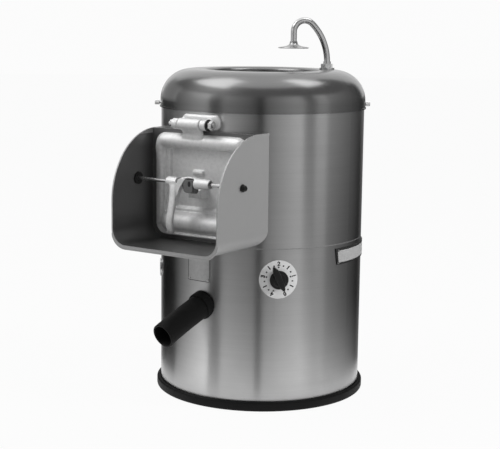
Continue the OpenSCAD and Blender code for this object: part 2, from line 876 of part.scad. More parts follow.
// A roll along X with round ends, in front of the flange's back face.
module door_roll(r, z)
    intersection() {
        translate([0, -roll_back, z]) rotate([0, 90, 0]) rotate_extrude() intersection() {
            union() {
                translate([0, r - roll_len / 2]) square([r, roll_len - 2 * r]);
                for (s = [-1, 1]) translate([0, s * (roll_len / 2 - r)]) circle(r);
            }
            translate([0, -roll_len]) square([r, 2 * roll_len]);
        }
        translate([-door_w, -pivot, 0]) cube([2 * door_w, pivot - flange_back - 1, door_top_z]);
    }

// The recessed panel's outline, set in from its edge.
module panel_shape(inset, r)
    rounded(panel_w - 2 * inset, panel_base + inset, panel_top - inset, r);

module door() color(cast)
    difference() {
        union() {
            // flange round the opening
            front_shape(flange_back, flange_front) difference() {
                rounded(door_w, door_bottom_z, door_top_z, door_corner);
                panel_shape(panel_wall, opening_corner - 6);
            }
            // recessed panel and its side walls
            front_shape(panel_back, flange_back + 0.5) difference() {
                panel_shape(0, opening_corner - 4);
                panel_shape(panel_wall, opening_corner - 6);
            }
            front_shape(panel_back, panel_front) panel_shape(panel_wall - 1, opening_corner - 6);
            door_roll(top_roll_r, door_top_z - top_roll_r);
            door_roll(low_roll_r, door_bottom_z + low_roll_r + low_roll_rise);
            // strap from the top roll up to the hinge barrel
            side_shape(4 - barrel_len / 2 - hinge_shift, barrel_len / 2 - hinge_shift)
                polygon([[hinge_out - barrel_r + 2, hinge_z], [hinge_out + barrel_r - 3, hinge_z],
                    [roll_back + top_roll_r - 1, door_top_z - top_roll_r + 3],
                    [roll_back, door_top_z - top_roll_r + 3]]);
            on_hinge() x_bar(barrel_r, -barrel_len / 2, barrel_len / 2, 0, 0);
            // pad that the cam presses on
            side_shape(cam_x[0] + 0.5, cam_x[1] - 0.5)
                polygon([[panel_back + 1, pad_top - pad_h], [pad_front, pad_top - pad_h],
                    [pad_front, pad_top - pad_chamfer], [pad_front - pad_chamfer, pad_top],
                    [panel_back + 1, pad_top]]);
            // small stop above the right hub
            translate([stop_x[0], -panel_front - stop_out, rod_z + stop_rise])
                cube([stop_x[1] - stop_x[0], stop_out + 1, stop_h]);
        }
        on_hinge() x_bar(pin_bore_r, -barrel_len, barrel_len, 0, 0);
    }

// ---- Hinge ----

// A place on the hinge pin's middle line, in the middle of the barrel.
module on_hinge() translate([-hinge_shift, -hinge_out, hinge_z]) children();

module at_hinge_bolts()
    for (a = [-hinge_bolt_turn, hinge_bolt_turn]) on_shell(hinge_turn + a, hinge_bolt_z) children();

module hinge_bracket() color(bright)
    difference() {
        union() {
            // pad that fits the drum, and a knuckle on each side of the barrel
            intersection() {
                cylinder_between(body_r + hood_t, hood_base, hood_base + hood_h);
                translate([-hinge_shift, 0, 0]) front_shape(0, hinge_out)
                    rounded(hood_w, hood_base, hood_base + hood_h, hood_corner);
            }
            for (s = [-1, 1]) translate([-hinge_shift, 0, 0]) {
                near = s > 0 ? knuckle_x : -knuckle_x - knuckle_len;
                side_shape(near, near + knuckle_len)
                    polygon([[body_r - 8, hood_base], [hinge_out, hinge_z - knuckle_r],
                        [hinge_out, hinge_z + knuckle_r], [body_r - 8, hinge_z + knuckle_r + 1]]);
                x_bar(knuckle_r, near, near + knuckle_len, hinge_out, hinge_z);
            }
        }
        cylinder_between(body_r + fit, hood_base - 1, cover_top_z);
        on_hinge() x_bar(pin_bore_r, -chute_w, chute_w, 0, 0);
        at_hinge_bolts() through(bolt_r + fit / 3);
    }

module hinge_bolts() color(grey)
    at_hinge_bolts() {
        head_base = -shell_t - bolt_head_h - 2;
        cylinder_between(bolt_head_r, head_base, head_base + bolt_head_h);
        cylinder_between(bolt_r, head_base, hood_t - 1);
    }

module hinge_pin() color(bright) on_hinge() {
    end = knuckle_x + knuckle_len;
    x_bar(hinge_pin_d / 2, -end - pin_tail, end + hinge_nut_len + 3, 0, 0);
    x_bar(hinge_pin_d / 2 + pin_head_w, -end - pin_tail, -end - fit, 0, 0);
    x_bar(pin_end_r, -end - pin_end, -end - pin_tail + 1, 0, 0);
}

module hinge_nut() color(bright) on_hinge() {
    end = knuckle_x + knuckle_len + fit;
    difference() {
        union() {
            x_bar(hinge_nut_r - 0.5, end, end + hinge_washer_t, 0, 0);
            translate([end + hinge_washer_t, 0, 0]) rotate([0, 90, 0])
                cylinder(r = hinge_nut_r - 2.5, h = hinge_nut_len - hinge_washer_t, $fn = 6);
        }
        x_bar(hinge_pin_d / 2 + fit / 3, end - 1, end + hinge_nut_len + 1, 0, 0);
    }
}

// ---- Latch ----

module latch_rod() color(bright)
    x_bar(rod_r, -chute_w / 2 - nut_len - 2, chute_w / 2 + nut_len + 2, pivot, rod_z);

module rod_nuts() color(dark)
    for (s = [0, 1]) mirror([s, 0, 0])
        translate([chute_w / 2, -pivot, rod_z]) rotate([0, 90, 0]) difference() {
            union() {
                cylinder(r = nut_r, h = nut_len);
                translate([0, 0, nut_len - 1]) sphere(nut_r - 0.5);
            }
            translate([0, 0, -nut_r]) cylinder(r = nut_r + 2, h = nut_r);
            cylinder(r = rod_r + fit / 3, h = nut_len + 2.1);
        }

module rod_washers() color(dark)
    for (s = [0, 1]) mirror([s, 0, 0])
        translate([chute_in - washer_t, -pivot, rod_z]) rotate([0, 90, 0])
            tube(washer_r, rod_r + fit / 3, 0, washer_t);

module latch_lever() color(bright) {
    back = cam_reach * cos(cam_down);
    drop = cam_reach * sin(cam_down);
    side_x = sin(cam_down) * cam_tip_r;
    side_z = cos(cam_down) * cam_tip_r;
    difference() {
        union() {
            x_bar(hub_r, left_hub[0], left_hub[1], pivot, rod_z);
            x_bar(hub_r, right_hub[0], right_hub[1], pivot, rod_z);
            x_bar(cam_barrel_r, left_hub[1] - 1, right_hub[0] + 1, pivot, rod_z);
            // cam nose, pointing back and down at rest
            side_shape(cam_x[0], cam_x[1]) translate([pivot, rod_z]) {
                translate([-back, -drop]) circle(cam_tip_r);
                polygon([[-side_x, side_z], [side_x, -side_z],
                    [side_x - back, -side_z - drop], [-side_x - back, side_z - drop]]);
            }
            // handle
            side_shape(handle_x - lever_w / 2, handle_x + lever_w / 2)
                translate([pivot, rod_z]) strip(handle_line, handle_t);
            // arch from the handle over the cam to the right hub
            translate([arch_x, -pivot - 2, rod_z - arch_drop]) rotate([90, 0, 0])
                rotate([0, 0, arch_start]) rotate_extrude(angle = arch_sweep)
                    translate([arch_r - arch_w / 2, 0]) square([arch_w, hub_r - 2.5]);
        }
        x_bar(rod_r + run_fit, -chute_w, chute_w, pivot, rod_z);
        x_bar(rod_r + socket_w, right_hub[1] - 2 * socket_w, right_hub[1] + 1, pivot, rod_z);
    }
}

// ---- Drain ----

module drain_hose() color(dark)
    difference() {
        union() {
            on_drain() cylinder_between(hose_d / 2, -hose_in, hose_reach);
            difference() {
                on_drain() cylinder_between(hose_d / 2 + collar_w, -collar_len, collar_len);
                cylinder_between(body_r + fit, bumper_h, seam_z);
            }
        }
        on_drain() cylinder_between(stub_r + fit, -hose_in - 1, stub_end);
        on_drain() cylinder_between(hose_bore_d / 2, stub_end - 1, hose_reach + 1);
    }

module hose_clamp() color(bright)
    on_drain() {
        low = 2 - hose_in;
        tube(hose_d / 2 + clamp_t, hose_d / 2 + fit / 3, low, low + clamp_w);
        translate([0, hose_d / 2 + clamp_t - 0.4, low]) cube([clamp_ear_w, clamp_ear_h, clamp_w]);
    }

// ---- Disc, shaft and bearings ----

module peeling_disc() color(cast)
    difference() {
        union() {
            cylinder_between(disc_r, disc_z, disc_top);
            // raised waves that toss the potatoes
            intersection() {
                for (a = [30, 150, 270])
                    rotate([0, 0, a]) translate([wave_in, 0, disc_top - wave_sink])
                        rotate([0, 90, 0]) cylinder(r = wave_r, h = disc_r - wave_in - wave_edge);
                cylinder_between(disc_r, disc_z + 1, disc_top + wave_r);
            }
            cylinder_between(boss_r, disc_top - 1, disc_top + boss_h);
            tube(hub_skirt_r, hub_skirt_in, hub_skirt_z, disc_z + 1);
        }
        cylinder_between(shaft_r + run_fit, disc_z - 1, disc_top);
        cylinder_between(stud_r + run_fit, disc_z, disc_top + boss_h + 1);
    }

module disc_cap() color(bright)
    difference() {
        base = disc_top + boss_h;
        union() {
            cylinder_between(cap_flange_r, base, base + cap_flange_h);
            translate([0, 0, base + cap_flange_h]) cylinder(r = cap_hex_r, h = cap_hex_h, $fn = 6);
        }
        cylinder_between(stud_r + run_fit, base - 1, base + stud_h - 2);
    }

module main_shaft() color(grey) {
    cylinder_between(shaft_r, shaft_base, disc_top);
    cylinder_between(stud_r, disc_top - 1, disc_top + boss_h + stud_h - 3);
}

module shaft_seal() color(dark)
    tube(tower_r - tower_wall - run_fit, shaft_r + run_fit, tower_top - 8, tower_top);

module bearing(z) color([0.6, 0.6, 0.62])
    difference() {
        tube(bearing_r, shaft_r + run_fit, z, z + bearing_h);
        // shields, a little below both faces
        for (s = [z, z + bearing_h])
            tube(bearing_r - race_w, shaft_r + race_w, s - shield_sink, s + shield_sink);
    }

module upper_bearing() bearing(pan_floor_z - bearing_h);
module lower_bearing() bearing(housing_base + housing_step);

module at_housing_bolts()
    for (a = [45:90:359]) rotate([0, 0, a]) translate([housing_bolt_r, 0, 0]) children();

module bearing_housing() color(grey)
    difference() {
        union() {
            cylinder_between(housing_r, housing_base, pan_floor_z - 1);
            cylinder_between(housing_flange_r, pan_floor_z - housing_flange_h, pan_floor_z);
        }
        cylinder_between(bearing_r + run_fit, pan_floor_z - bearing_h, pan_floor_z + 1);
        translate([0, 0, housing_base + housing_step])
            cylinder(r = bearing_r + run_fit, h = bearing_h);
        cylinder_between(bearing_r - race_w, housing_base - 1, pan_floor_z + 1);
        at_housing_bolts() cylinder_between(bolt_r + fit, pan_floor_z - 20, pan_floor_z + 1);
    }

module housing_bolts() color(grey)
    at_housing_bolts() {
        base = pan_floor_z - housing_flange_h;
        cylinder_between(bolt_head_r, base - bolt_head_h, base);
        cylinder_between(bolt_r, base - 1, pan_floor_z + pan_floor_t + 2);
    }

// ---- Belt drive and motor ----

module grooved_pulley(pitch_r, hub_r, bore_r) {
    out = pitch_r + belt_in + pulley_flange;
    difference() {
        union() {
            cylinder_between(out, belt_z - pulley_w / 2, belt_z + pulley_w / 2);
            children();
        }
        tube(out + 5, pitch_r - belt_in - fit, belt_z - groove_w / 2, belt_z + groove_w / 2);
        cylinder_between(bore_r + run_fit, belt_z - 40, belt_z + 40);
    }
}

module driven_pulley() color(grey)
    difference() {
        grooved_pulley(driven_pitch_r, pulley_hub_r, shaft_r)
            cylinder_between(pulley_hub_r, belt_z - pulley_w / 2 - pulley_hub_h,
                belt_z + pulley_w / 2 + pulley_hub_h);
        for (s = [0, 1]) translate([0, 0, belt_z]) mirror([0, 0, s])
            tube(driven_pitch_r - belt_in - pulley_rim_w, pulley_hub_r, pulley_web_t / 2, pulley_w);
    }

module motor_pulley() color(grey)
    translate([0, motor_offset, 0]) grooved_pulley(motor_pitch_r, 0, motor_shaft_r)
        cylinder_between(motor_shaft_r + 6, belt_z - pulley_w / 2 - 6, belt_z);

module drive_belt() color(dark)
    translate([0, 0, belt_z - belt_w / 2]) linear_extrude(belt_w) difference() {
        two_circle_outline(driven_pitch_r + belt_in, motor_pitch_r + belt_in, motor_offset);
        two_circle_outline(driven_pitch_r - belt_in, motor_pitch_r - belt_in, motor_offset);
    }

module on_motor() translate([0, motor_offset, 0]) children();

module motor_shaft() color(grey)
    on_motor() cylinder_between(motor_shaft_r, motor_base + motor_wall + 1, belt_z + pulley_w / 2 + 2);

module motor_rotor() color(grey)
    on_motor() tube(rotor_r, motor_shaft_r + run_fit, stator_base + 2, stator_top - 2);

module motor_stator() color([0.62, 0.36, 0.2])
    on_motor() tube(motor_r - motor_wall - fit, stator_in, stator_base, stator_top);

module motor_can() color([0.3, 0.32, 0.34])
    on_motor() difference() {
        cylinder_between(motor_r, motor_base, motor_top);
        cylinder_between(motor_r - motor_wall, stator_base, motor_top + 1);
        cylinder_between(stator_in, (motor_base + stator_base) / 2, motor_top + 1);
        cylinder_between(motor_shaft_r + run_fit, motor_base + motor_wall, motor_top);
    }

module motor_end_bell() color([0.3, 0.32, 0.34])
    on_motor() difference() {
        union() {
            cylinder_between(motor_r, motor_top, motor_top + bell_h);
            cylinder_between(motor_shaft_r + 10, motor_top - 10, motor_top + bell_h + 4);
        }
        cylinder_between(motor_shaft_r + run_fit, motor_top - 20, motor_top + 40);
    }

module at_foot_bolts()
    on_motor() for (x = [-foot_bolt, foot_bolt], y = [-foot_bolt, foot_bolt])
        translate([x, y, 0]) children();

module motor_foot() color([0.3, 0.32, 0.34])
    difference() {
        on_motor() translate([-foot_w / 2, -foot_w / 2, ledge_z]) cube([foot_w, foot_w, foot_t]);
        at_foot_bolts() cylinder_between(foot_bolt_r + fit, 0, motor_top);
    }

module motor_bolts() color(grey)
    at_foot_bolts() {
        cylinder_between(foot_bolt_head_r, motor_base, motor_base + bolt_head_h + 1);
        cylinder_between(foot_bolt_r, ledge_z / 3, motor_base + 1);
    }

module capacitor() color([0.2, 0.22, 0.26])
    translate([cap_can_x, cap_can_y, 0]) {
        top = ledge_z + cap_can_h;
        cylinder_between(cap_can_r, ledge_z, top);
        for (x = [-terminal_x, terminal_x]) translate([x, 0, 0])
            cylinder_between(terminal_r, top - 1, top + terminal_h);
    }

// ---- Timer ----

module on_timer() on_shell(timer_angle, timer_z) children();

module timer_body() color([0.85, 0.83, 0.76])
    on_timer() difference() {
        union() {
            translate([-timer_size / 2, -timer_size / 2, timer_face - timer_depth])
                cube([timer_size, timer_size, timer_depth]);
            cylinder_between(bush_r, timer_face - 1, dial_t + fit + timer_nut_h);
        }
        cylinder_between(timer_shaft_d / 2 + run_fit, timer_face - timer_shaft_in - 1, knob_base);
    }

module timer_nut() color(bright)
    on_timer() difference() {
        base = dial_t + fit;
        translate([0, 0, base]) cylinder(r = timer_nut_r, h = timer_nut_h, $fn = 6);
        cylinder_between(bush_r + fit / 3, base - 1, base + timer_nut_h + 1);
    }

module timer_shaft() color(grey)
    on_timer() cylinder_between(timer_shaft_d / 2, timer_face - timer_shaft_in, knob_base + knob_h - 5);

// The knob's bar: square with cut corners at one end, a blunt tip at the other.
module pointer_shape(w, l)
    polygon([[-w, l - pointer_chamfer], [pointer_chamfer - w, l], [w - pointer_chamfer, l],
        [w, l - pointer_chamfer], [w, pointer_tip - l], [1, -l], [-1, -l], [-w, pointer_tip - l]]);

module timer_knob() color(dark)
    on_timer() difference() {
        union() {
            cylinder_between(knob_d / 2, knob_base, knob_base + knob_skirt_h);
            cylinder_between(knob_d / 2 - 6, knob_base + 1, knob_base + 2 * knob_skirt_h);
            rotate([0, 0, pointer_turn]) translate([0, 0, knob_base + 1])
                linear_extrude(knob_h - 1) pointer_shape(pointer_w / 2, pointer_len / 2);
        }
        cylinder_between(timer_shaft_d / 2 + run_fit, knob_base - 1, knob_base + knob_h - 4);
    }

module dial_plate() color([0.93, 0.93, 0.91])
    difference() {
        intersection() {
            tube(body_r + fit + dial_t, body_r + fit, timer_z - dial_d, timer_z + dial_d);
            on_timer() cylinder_between(dial_d / 2, -dial_d / 2, dial_d / 2);
        }
        on_timer() cylinder_between(bush_r + fit, -dial_d, dial_d);
    }

// ---- Plates, cap and gland ----

module at_plate_rivets(turns, rise)
    for (t = [turns[0] + rivet_inset_turn, turns[1] - rivet_inset_turn],
         z = [rise[0] + rivet_inset_z, rise[1] - rivet_inset_z])
        on_shell(t, z) children();

module at_rivets() {
    at_plate_rivets(data_turn, data_rise) children();
    at_plate_rivets(badge_turn, badge_rise) children();
}

module rivet(top) {
    cylinder_between(rivet_r, -shell_t - 1.5, top + 0.5);
    cylinder_between(rivet_head_r, top, top + 0.9);
}

module plate_rivets() color(bright) {
    at_plate_rivets(data_turn, data_rise) rivet(plate_t + fit);
    at_plate_rivets(badge_turn, badge_rise) rivet(badge_t + fit);
}

module data_plate() color(bright)
    difference() {
        shell_plate(data_turn, data_rise, fit, plate_t);
        at_plate_rivets(data_turn, data_rise) through(rivet_r + fit / 3);
    }

module side_plate() color(dark)
    difference() {
        shell_plate(badge_turn, badge_rise, fit, badge_t);
        at_plate_rivets(badge_turn, badge_rise) through(rivet_r + fit / 3);
    }

module blanking_cap() color(bright)
    on_shell(cap_turn, cap_z) {
        cylinder_between(cap_r, fit, fit + 1.8);
        cylinder_between(cap_plug_r, -shell_t - 4, 1);
    }

module cord_gland() color(dark)
    on_shell(gland_angle, gland_z) difference() {
        union() {
            cylinder_between(gland_thread_r, -shell_t - gland_in, gland_out - 1);
            cylinder_between(gland_nut_r, fit, 0.6 * gland_out);
            cylinder_between(gland_nut_r - 2, 0.6 * gland_out, gland_out);
            translate([0, 0, -shell_t - 7]) cylinder(r = gland_nut_r, h = 6, $fn = 6);
        }
        cylinder_between(gland_bore_r, -shell_t - gland_in - 1, gland_out + 1);
    }

// ---- Inner leads ----

module supply_lead() color(dark) lead(supply_route);
module motor_lead() color(dark) lead(motor_route);

base_bumper();
base_plate();
lower_shell();
upper_shell();
chamber_pan();
abrasive_liner();
cover();
rim_seal();
cover_screws();
spout_fitting();
spout_nut();
water_inlet();
spout_foot();
gooseneck();
spray_disc();
chute();
door_frame();
door();
door_gasket();
hinge_bracket();
hinge_bolts();
hinge_pin();
hinge_nut();
latch_rod();
rod_nuts();
rod_washers();
latch_lever();
drain_hose();
hose_clamp();
peeling_disc();
disc_cap();
main_shaft();
shaft_seal();
upper_bearing();
lower_bearing();
bearing_housing();
housing_bolts();
driven_pulley();
drive_belt();
motor_pulley();
motor_shaft();
motor_rotor();
motor_stator();
motor_can();
motor_end_bell();
motor_foot();
motor_bolts();
capacitor();
timer_body();
timer_nut();
timer_shaft();
timer_knob();
dial_plate();
data_plate();
side_plate();
plate_rivets();
blanking_cap();
cord_gland();
supply_lead();
motor_lead();
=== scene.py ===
import json
from math import asin, ceil, copysign, cos, degrees, hypot, pi, radians, sin, sqrt

import bmesh
import bpy
from mathutils import Matrix, Vector


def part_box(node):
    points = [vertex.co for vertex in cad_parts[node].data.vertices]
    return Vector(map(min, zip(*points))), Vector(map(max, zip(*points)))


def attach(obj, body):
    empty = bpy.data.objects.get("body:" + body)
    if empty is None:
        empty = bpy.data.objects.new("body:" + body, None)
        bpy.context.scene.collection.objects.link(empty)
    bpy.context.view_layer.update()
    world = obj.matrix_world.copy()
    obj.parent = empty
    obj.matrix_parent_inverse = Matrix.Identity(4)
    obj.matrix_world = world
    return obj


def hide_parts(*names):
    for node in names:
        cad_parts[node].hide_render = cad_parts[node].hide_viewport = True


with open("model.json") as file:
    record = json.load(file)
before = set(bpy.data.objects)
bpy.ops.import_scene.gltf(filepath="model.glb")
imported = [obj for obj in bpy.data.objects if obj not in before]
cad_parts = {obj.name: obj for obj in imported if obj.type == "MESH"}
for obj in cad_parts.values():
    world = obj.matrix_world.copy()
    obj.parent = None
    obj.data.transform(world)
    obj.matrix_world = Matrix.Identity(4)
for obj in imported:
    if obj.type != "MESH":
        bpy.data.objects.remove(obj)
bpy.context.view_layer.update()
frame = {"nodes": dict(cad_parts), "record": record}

MM = 0.001
SHARP = radians(38)


def low(node):
    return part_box(node)[0]


def high(node):
    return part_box(node)[1]


def middle(node):
    return (low(node) + high(node)) / 2


# ---- Sizes, worked out from the frame ----

drum_r = high("upper_shell").x
chute_half = high("chute").x
chute_base = low("chute").z
chute_top = high("chute").z
chute_front = -low("chute").y
chute_sheet = 3 * MM
chute_corner = 32 * MM
chute_nose = 130 * MM
frame_front = -low("door_frame").y
rod_z = middle("latch_rod").z
pivot = -middle("latch_rod").y
hinge_z = middle("hinge_nut").z
hinge_out = -middle("hinge_nut").y
hinge_x = middle("hinge_bracket").x
bumper_r = high("base_bumper").x
bumper_h = high("base_bumper").z
cover_top = high("cover").z


# ---- Mesh tools ----

def in_scene(name, data):
    """A new object, linked to the scene."""
    thing = bpy.data.objects.new(name, data)
    bpy.context.scene.collection.objects.link(thing)
    return thing


def add_piece(name, mesh, body, slot, finish=None):
    """A new piece in place, with its body and the finish named by its slot or by another name."""
    mesh.name = name
    mesh.materials.append(FINISHES[finish or slot])
    piece = in_scene(name, mesh)
    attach(piece, body)
    return piece


def mesh_of(verts, faces):
    mesh = bpy.data.meshes.new("mesh")
    mesh.from_pydata([tuple(v) for v in verts], [], faces)
    mesh.validate()
    return mesh


def tidy_normals(mesh):
    """Outward faces, smooth except across sharp edges."""
    bm = bmesh.new()
    bm.from_mesh(mesh)
    bmesh.ops.remove_doubles(bm, verts=bm.verts, dist=0.001 * MM)
    bmesh.ops.recalc_face_normals(bm, faces=bm.faces)
    for face in bm.faces:
        face.smooth = True
    for edge in bm.edges:
        if len(edge.link_faces) == 2:
            edge.smooth = edge.calc_face_angle(0) < SHARP
    bm.to_mesh(mesh)
    bm.free()
    return mesh


def join(*meshes):
    """Several meshes as one."""
    bm = bmesh.new()
    for mesh in meshes:
        bm.from_mesh(mesh)
    out = mesh_of([], [])
    bm.to_mesh(out)
    bm.free()
    return out


def bands(rings, count, closed=True):
    """The quads between rings of as many points each, or between open rows of them."""
    across = count if closed else count - 1
    return [(i * count + k, i * count + (k + 1) % count, (i + 1) * count + (k + 1) % count,
             (i + 1) * count + k) for i in range(rings - 1) for k in range(across)]


def solid_of(rings):
    """Rings of points joined in a row, with a face over each end."""
    count, last = len(rings[0]), (len(rings) - 1) * len(rings[0])
    ends = [tuple(range(count)), tuple(last + k for k in range(count))]
    return tidy_normals(mesh_of([p for ring in rings for p in ring], bands(len(rings), count) + ends))


def loop_of(rings):
    """Rings of points joined in a row, and the last one to the first."""
    verts = [p for ring in rings for p in ring]
    quads = bands(len(rings) + 1, len(rings[0]))
    return tidy_normals(mesh_of(verts, [tuple(v % len(verts) for v in quad) for quad in quads]))


def lathe(profile, place=Matrix(), sides=96):
    """A closed outline of (radius, height) turned round the Z axis of a place."""
    turns = [2 * pi * i / sides for i in range(sides)]
    return loop_of([[place @ Vector((r * cos(a), r * sin(a), z)) for r, z in profile] for a in turns])


def corner(cx, cy, r, start, end, steps=6):
    """Points round a corner, in degrees."""
    turns = [radians(start + (end - start) * i / steps) for i in range(steps + 1)]
    return [(cx + r * cos(a), cy + r * sin(a)) for a in turns]


def smooth_line(points, steps=6):
    """A Catmull-Rom line through points of any length."""
    line = []
    for i in range(len(points) - 1):
        a, b = points[max(i - 1, 0)], points[i]
        c, d = points[i + 1], points[min(i + 2, len(points) - 1)]
        for k in range(steps):
            t = k / steps
            line.append([0.5 * (2 * q + (r - p) * t + (2 * p - 5 * q + 4 * r - s) * t * t
                                + (3 * q - p - 3 * r + s) * t ** 3)
                         for p, q, r, s in zip(a, b, c, d)])
    return line + [list(points[-1])]


def sweep(rows, side, sides=24, square=2.0):
    """A solid bar along rows of (x, y, z, half width, half thickness).

    Width is measured along side. A square above 2 makes the section boxier."""
    side = Vector(side).normalized()
    rings, last = [], len(rows) - 1
    for i, (x, y, z, width, thick) in enumerate(rows):
        ahead = Vector(rows[min(i + 1, last)][:3]) - Vector(rows[max(i - 1, 0)][:3])
        ahead.normalize()
        across = (side - ahead * side.dot(ahead)).normalized() * width
        up = ahead.cross(across.normalized()) * thick
        ring = []
        for a in (2 * pi * k / sides for k in range(sides)):
            c, s = (copysign(abs(f) ** (2 / square), f) for f in (cos(a), sin(a)))
            ring.append(Vector((x, y, z)) + across * c + up * s)
        rings.append(ring)
    return solid_of(rings)


def prism(outline, near, far, place=Matrix()):
    """A flat outline of (x, y) given thickness along the place's Z."""
    return solid_of([[place @ Vector((x, y, z)) for x, y in outline] for z in (near, far)])


def ring_prism(outer, inner, near, far, place=Matrix()):
    """The same between an outer and an inner outline with as many points."""
    rings = ((outer, near), (inner, near), (inner, far), (outer, far))
    return loop_of([[place @ Vector((x, y, z)) for x, y in outline] for outline, z in rings])


def round_box(half_w, base, top, r, steps=6):
    """The outline of a rectangle with round corners, centred on X."""
    return (corner(half_w - r, top - r, r, 0, 90, steps)
            + corner(r - half_w, top - r, r, 90, 180, steps)
            + corner(r - half_w, base + r, r, 180, 270, steps)
            + corner(half_w - r, base + r, r, 270, 360, steps))


def knob_profile(r, base, top, edge):
    """A turned knob or screw head: a closed outline with rounded edges."""
    return ([(0, base), (r - edge, base)] + corner(r - edge, base + edge, edge, -90, 0, 4)
            + corner(r - edge, top - edge, edge, 0, 90, 4) + [(0, top)])


# Facing the front: the outline's X stays, its Y becomes height, its Z comes forward.
FACING = Matrix(((1, 0, 0, 0), (0, 0, -1, 0), (0, 1, 0, 0), (0, 0, 0, 1)))


def along_x(x, forward, z):
    """A place whose Z runs along +X."""
    return Matrix.Translation((x, -forward, z)) @ Matrix.Rotation(pi / 2, 4, "Y")


def on_shell(turn, z):
    """A place on the drum: +Z outward, +Y up, turned from the front towards +X."""
    return (Matrix.Rotation(radians(turn), 4, "Z") @ Matrix.Translation((0, -drum_r, z))
            @ Matrix.Rotation(pi / 2, 4, "X"))


def bend_round(mesh, turn, z, r):
    """Wraps a flat mesh (x across, y up, z outward) round the drum at radius r."""
    for v in mesh.vertices:
        a = radians(turn) + v.co.x / r
        out = r + v.co.z
        v.co = Vector((out * sin(a), -out * cos(a), z + v.co.y))
    return tidy_normals(mesh)


def cast(name, meshes, voxel, rounds, body, slot, finish=None):
    """Meshes melted together with soft corners, as a sand casting has."""
    piece = add_piece(name, join(*meshes), body, slot, finish)
    remesh = piece.modifiers.new("Melt", "REMESH")
    remesh.mode = "VOXEL"
    remesh.voxel_size = voxel
    remesh.use_smooth_shade = True
    soften = piece.modifiers.new("Soften", "SMOOTH")
    soften.factor = 0.5
    soften.iterations = rounds
    return piece


def add_bevel(piece, width, angle=40):
    bevel = piece.modifiers.new("Edges", "BEVEL")
    bevel.width = width
    bevel.segments = 2
    bevel.limit_method = "ANGLE"
    bevel.angle_limit = radians(angle)
    bevel.harden_normals = True


# ---- Material tools ----

def new_group(name, inputs, outputs):
    """A shader group: its tree, the values that enter it and the sockets that leave it."""
    group = bpy.data.node_groups.new(name, "ShaderNodeTree")
    for label, value in inputs:
        group.interface.new_socket(name=label, in_out="INPUT",
                                   socket_type="NodeSocketFloat").default_value = value
    for label in outputs:
        group.interface.new_socket(name=label, in_out="OUTPUT", socket_type="NodeSocketFloat")
    return group, group.nodes.new("NodeGroupInput").outputs, group.nodes.new("NodeGroupOutput").inputs


def node(tree, kind, **settings):
    """A node with its settings. in_NAME or in_NUMBER sets that input, by a value or a link."""
    made = tree.nodes.new(kind)
    for key, value in settings.items():
        if not key.startswith("in_"):
            setattr(made, key, value)
            continue
        label = key[3:].replace("_", " ")
        socket = made.inputs[int(label) if label.isdigit() else label]
        if isinstance(value, bpy.types.NodeSocket):
            tree.links.new(value, socket)
        else:
            socket.default_value = value
    return made


def maths(tree, operation, a, b, clamp=False):
    made = node(tree, "ShaderNodeMath", operation=operation, use_clamp=clamp, in_0=a, in_1=b)
    return made.outputs[0]


def vector_maths(tree, operation, label, **values):
    return node(tree, "ShaderNodeVectorMath", operation=operation, **values).outputs[label]


def object_place(tree):
    return node(tree, "ShaderNodeTexCoord").outputs["Object"]


def noise_at(tree, vector, scale, detail=2.0, rough=0.5):
    return node(tree, "ShaderNodeTexNoise", in_Vector=vector, in_Scale=scale, in_Detail=detail,
                in_Roughness=rough).outputs["Fac"]


def spread(tree, value, a, b):
    """Maps the range a..b to 0..1, and holds it there."""
    return node(tree, "ShaderNodeMapRange", in_0=value, in_1=a, in_2=b).outputs[0]


def make_brushing():
    """Fine lines round Z, as a belt sander leaves them, with broader streaks between."""
    tree, given, out = new_group("brushing", [("Length", 6.0), ("Fineness", 1400.0)],
                                 ["Lines", "Streaks"])
    place = object_place(tree)
    for label, share, detail in (("Lines", 1.0, 3.0), ("Streaks", 0.09, 2.0)):
        fine = maths(tree, "MULTIPLY", given["Fineness"], share)
        size = node(tree, "ShaderNodeCombineXYZ", in_X=given["Length"], in_Y=given["Length"],
                    in_Z=fine).outputs[0]
        drawn = vector_maths(tree, "MULTIPLY", "Vector", in_0=place, in_1=size)
        tree.links.new(noise_at(tree, drawn, 1.0, detail), out[label])
    return tree


def make_handling():
    """Soft marks of wiping and handling, and a little dust where the surface faces up."""
    tree, given, out = new_group("handling", [("Size", 14.0)], ["Marks", "Specks", "Dust"])
    place = vector_maths(tree, "SCALE", "Vector", in_0=object_place(tree), in_Scale=given["Size"])
    marks = spread(tree, noise_at(tree, place, 1.0, 5.0, 0.62), 0.42, 0.72)
    specks = spread(tree, noise_at(tree, place, 22.0), 0.66, 0.74)
    normal = node(tree, "ShaderNodeNewGeometry").outputs["Normal"]
    facing = node(tree, "ShaderNodeSeparateXYZ", in_0=normal).outputs["Z"]
    dust = maths(tree, "MULTIPLY", spread(tree, facing, 0.55, 1.0), marks)
    for label, value in (("Marks", marks), ("Specks", specks), ("Dust", dust)):
        tree.links.new(value, out[label])
    return tree


def make_edges():
    """A mask for worn outer edges, broken up by noise."""
    tree, given, out = new_group("worn_edges", [("Width", 0.0012), ("Break up", 240.0)], ["Edge"])
    soft = node(tree, "ShaderNodeBevel", samples=4, in_Radius=given["Width"]).outputs[0]
    normal = node(tree, "ShaderNodeNewGeometry").outputs["Normal"]
    turn = vector_maths(tree, "DOT_PRODUCT", "Value", in_0=soft, in_1=normal)
    place = vector_maths(tree, "SCALE", "Vector", in_0=object_place(tree), in_Scale=given["Break up"])
    rough = spread(tree, noise_at(tree, place, 1.0, 3.0), 0.3, 0.6)
    tree.links.new(maths(tree, "MULTIPLY", spread(tree, turn, 0.99, 0.86), rough), out["Edge"])
    return tree


BRUSHING = make_brushing()
HANDLING = make_handling()
EDGES = make_edges()
FINISHES = {}


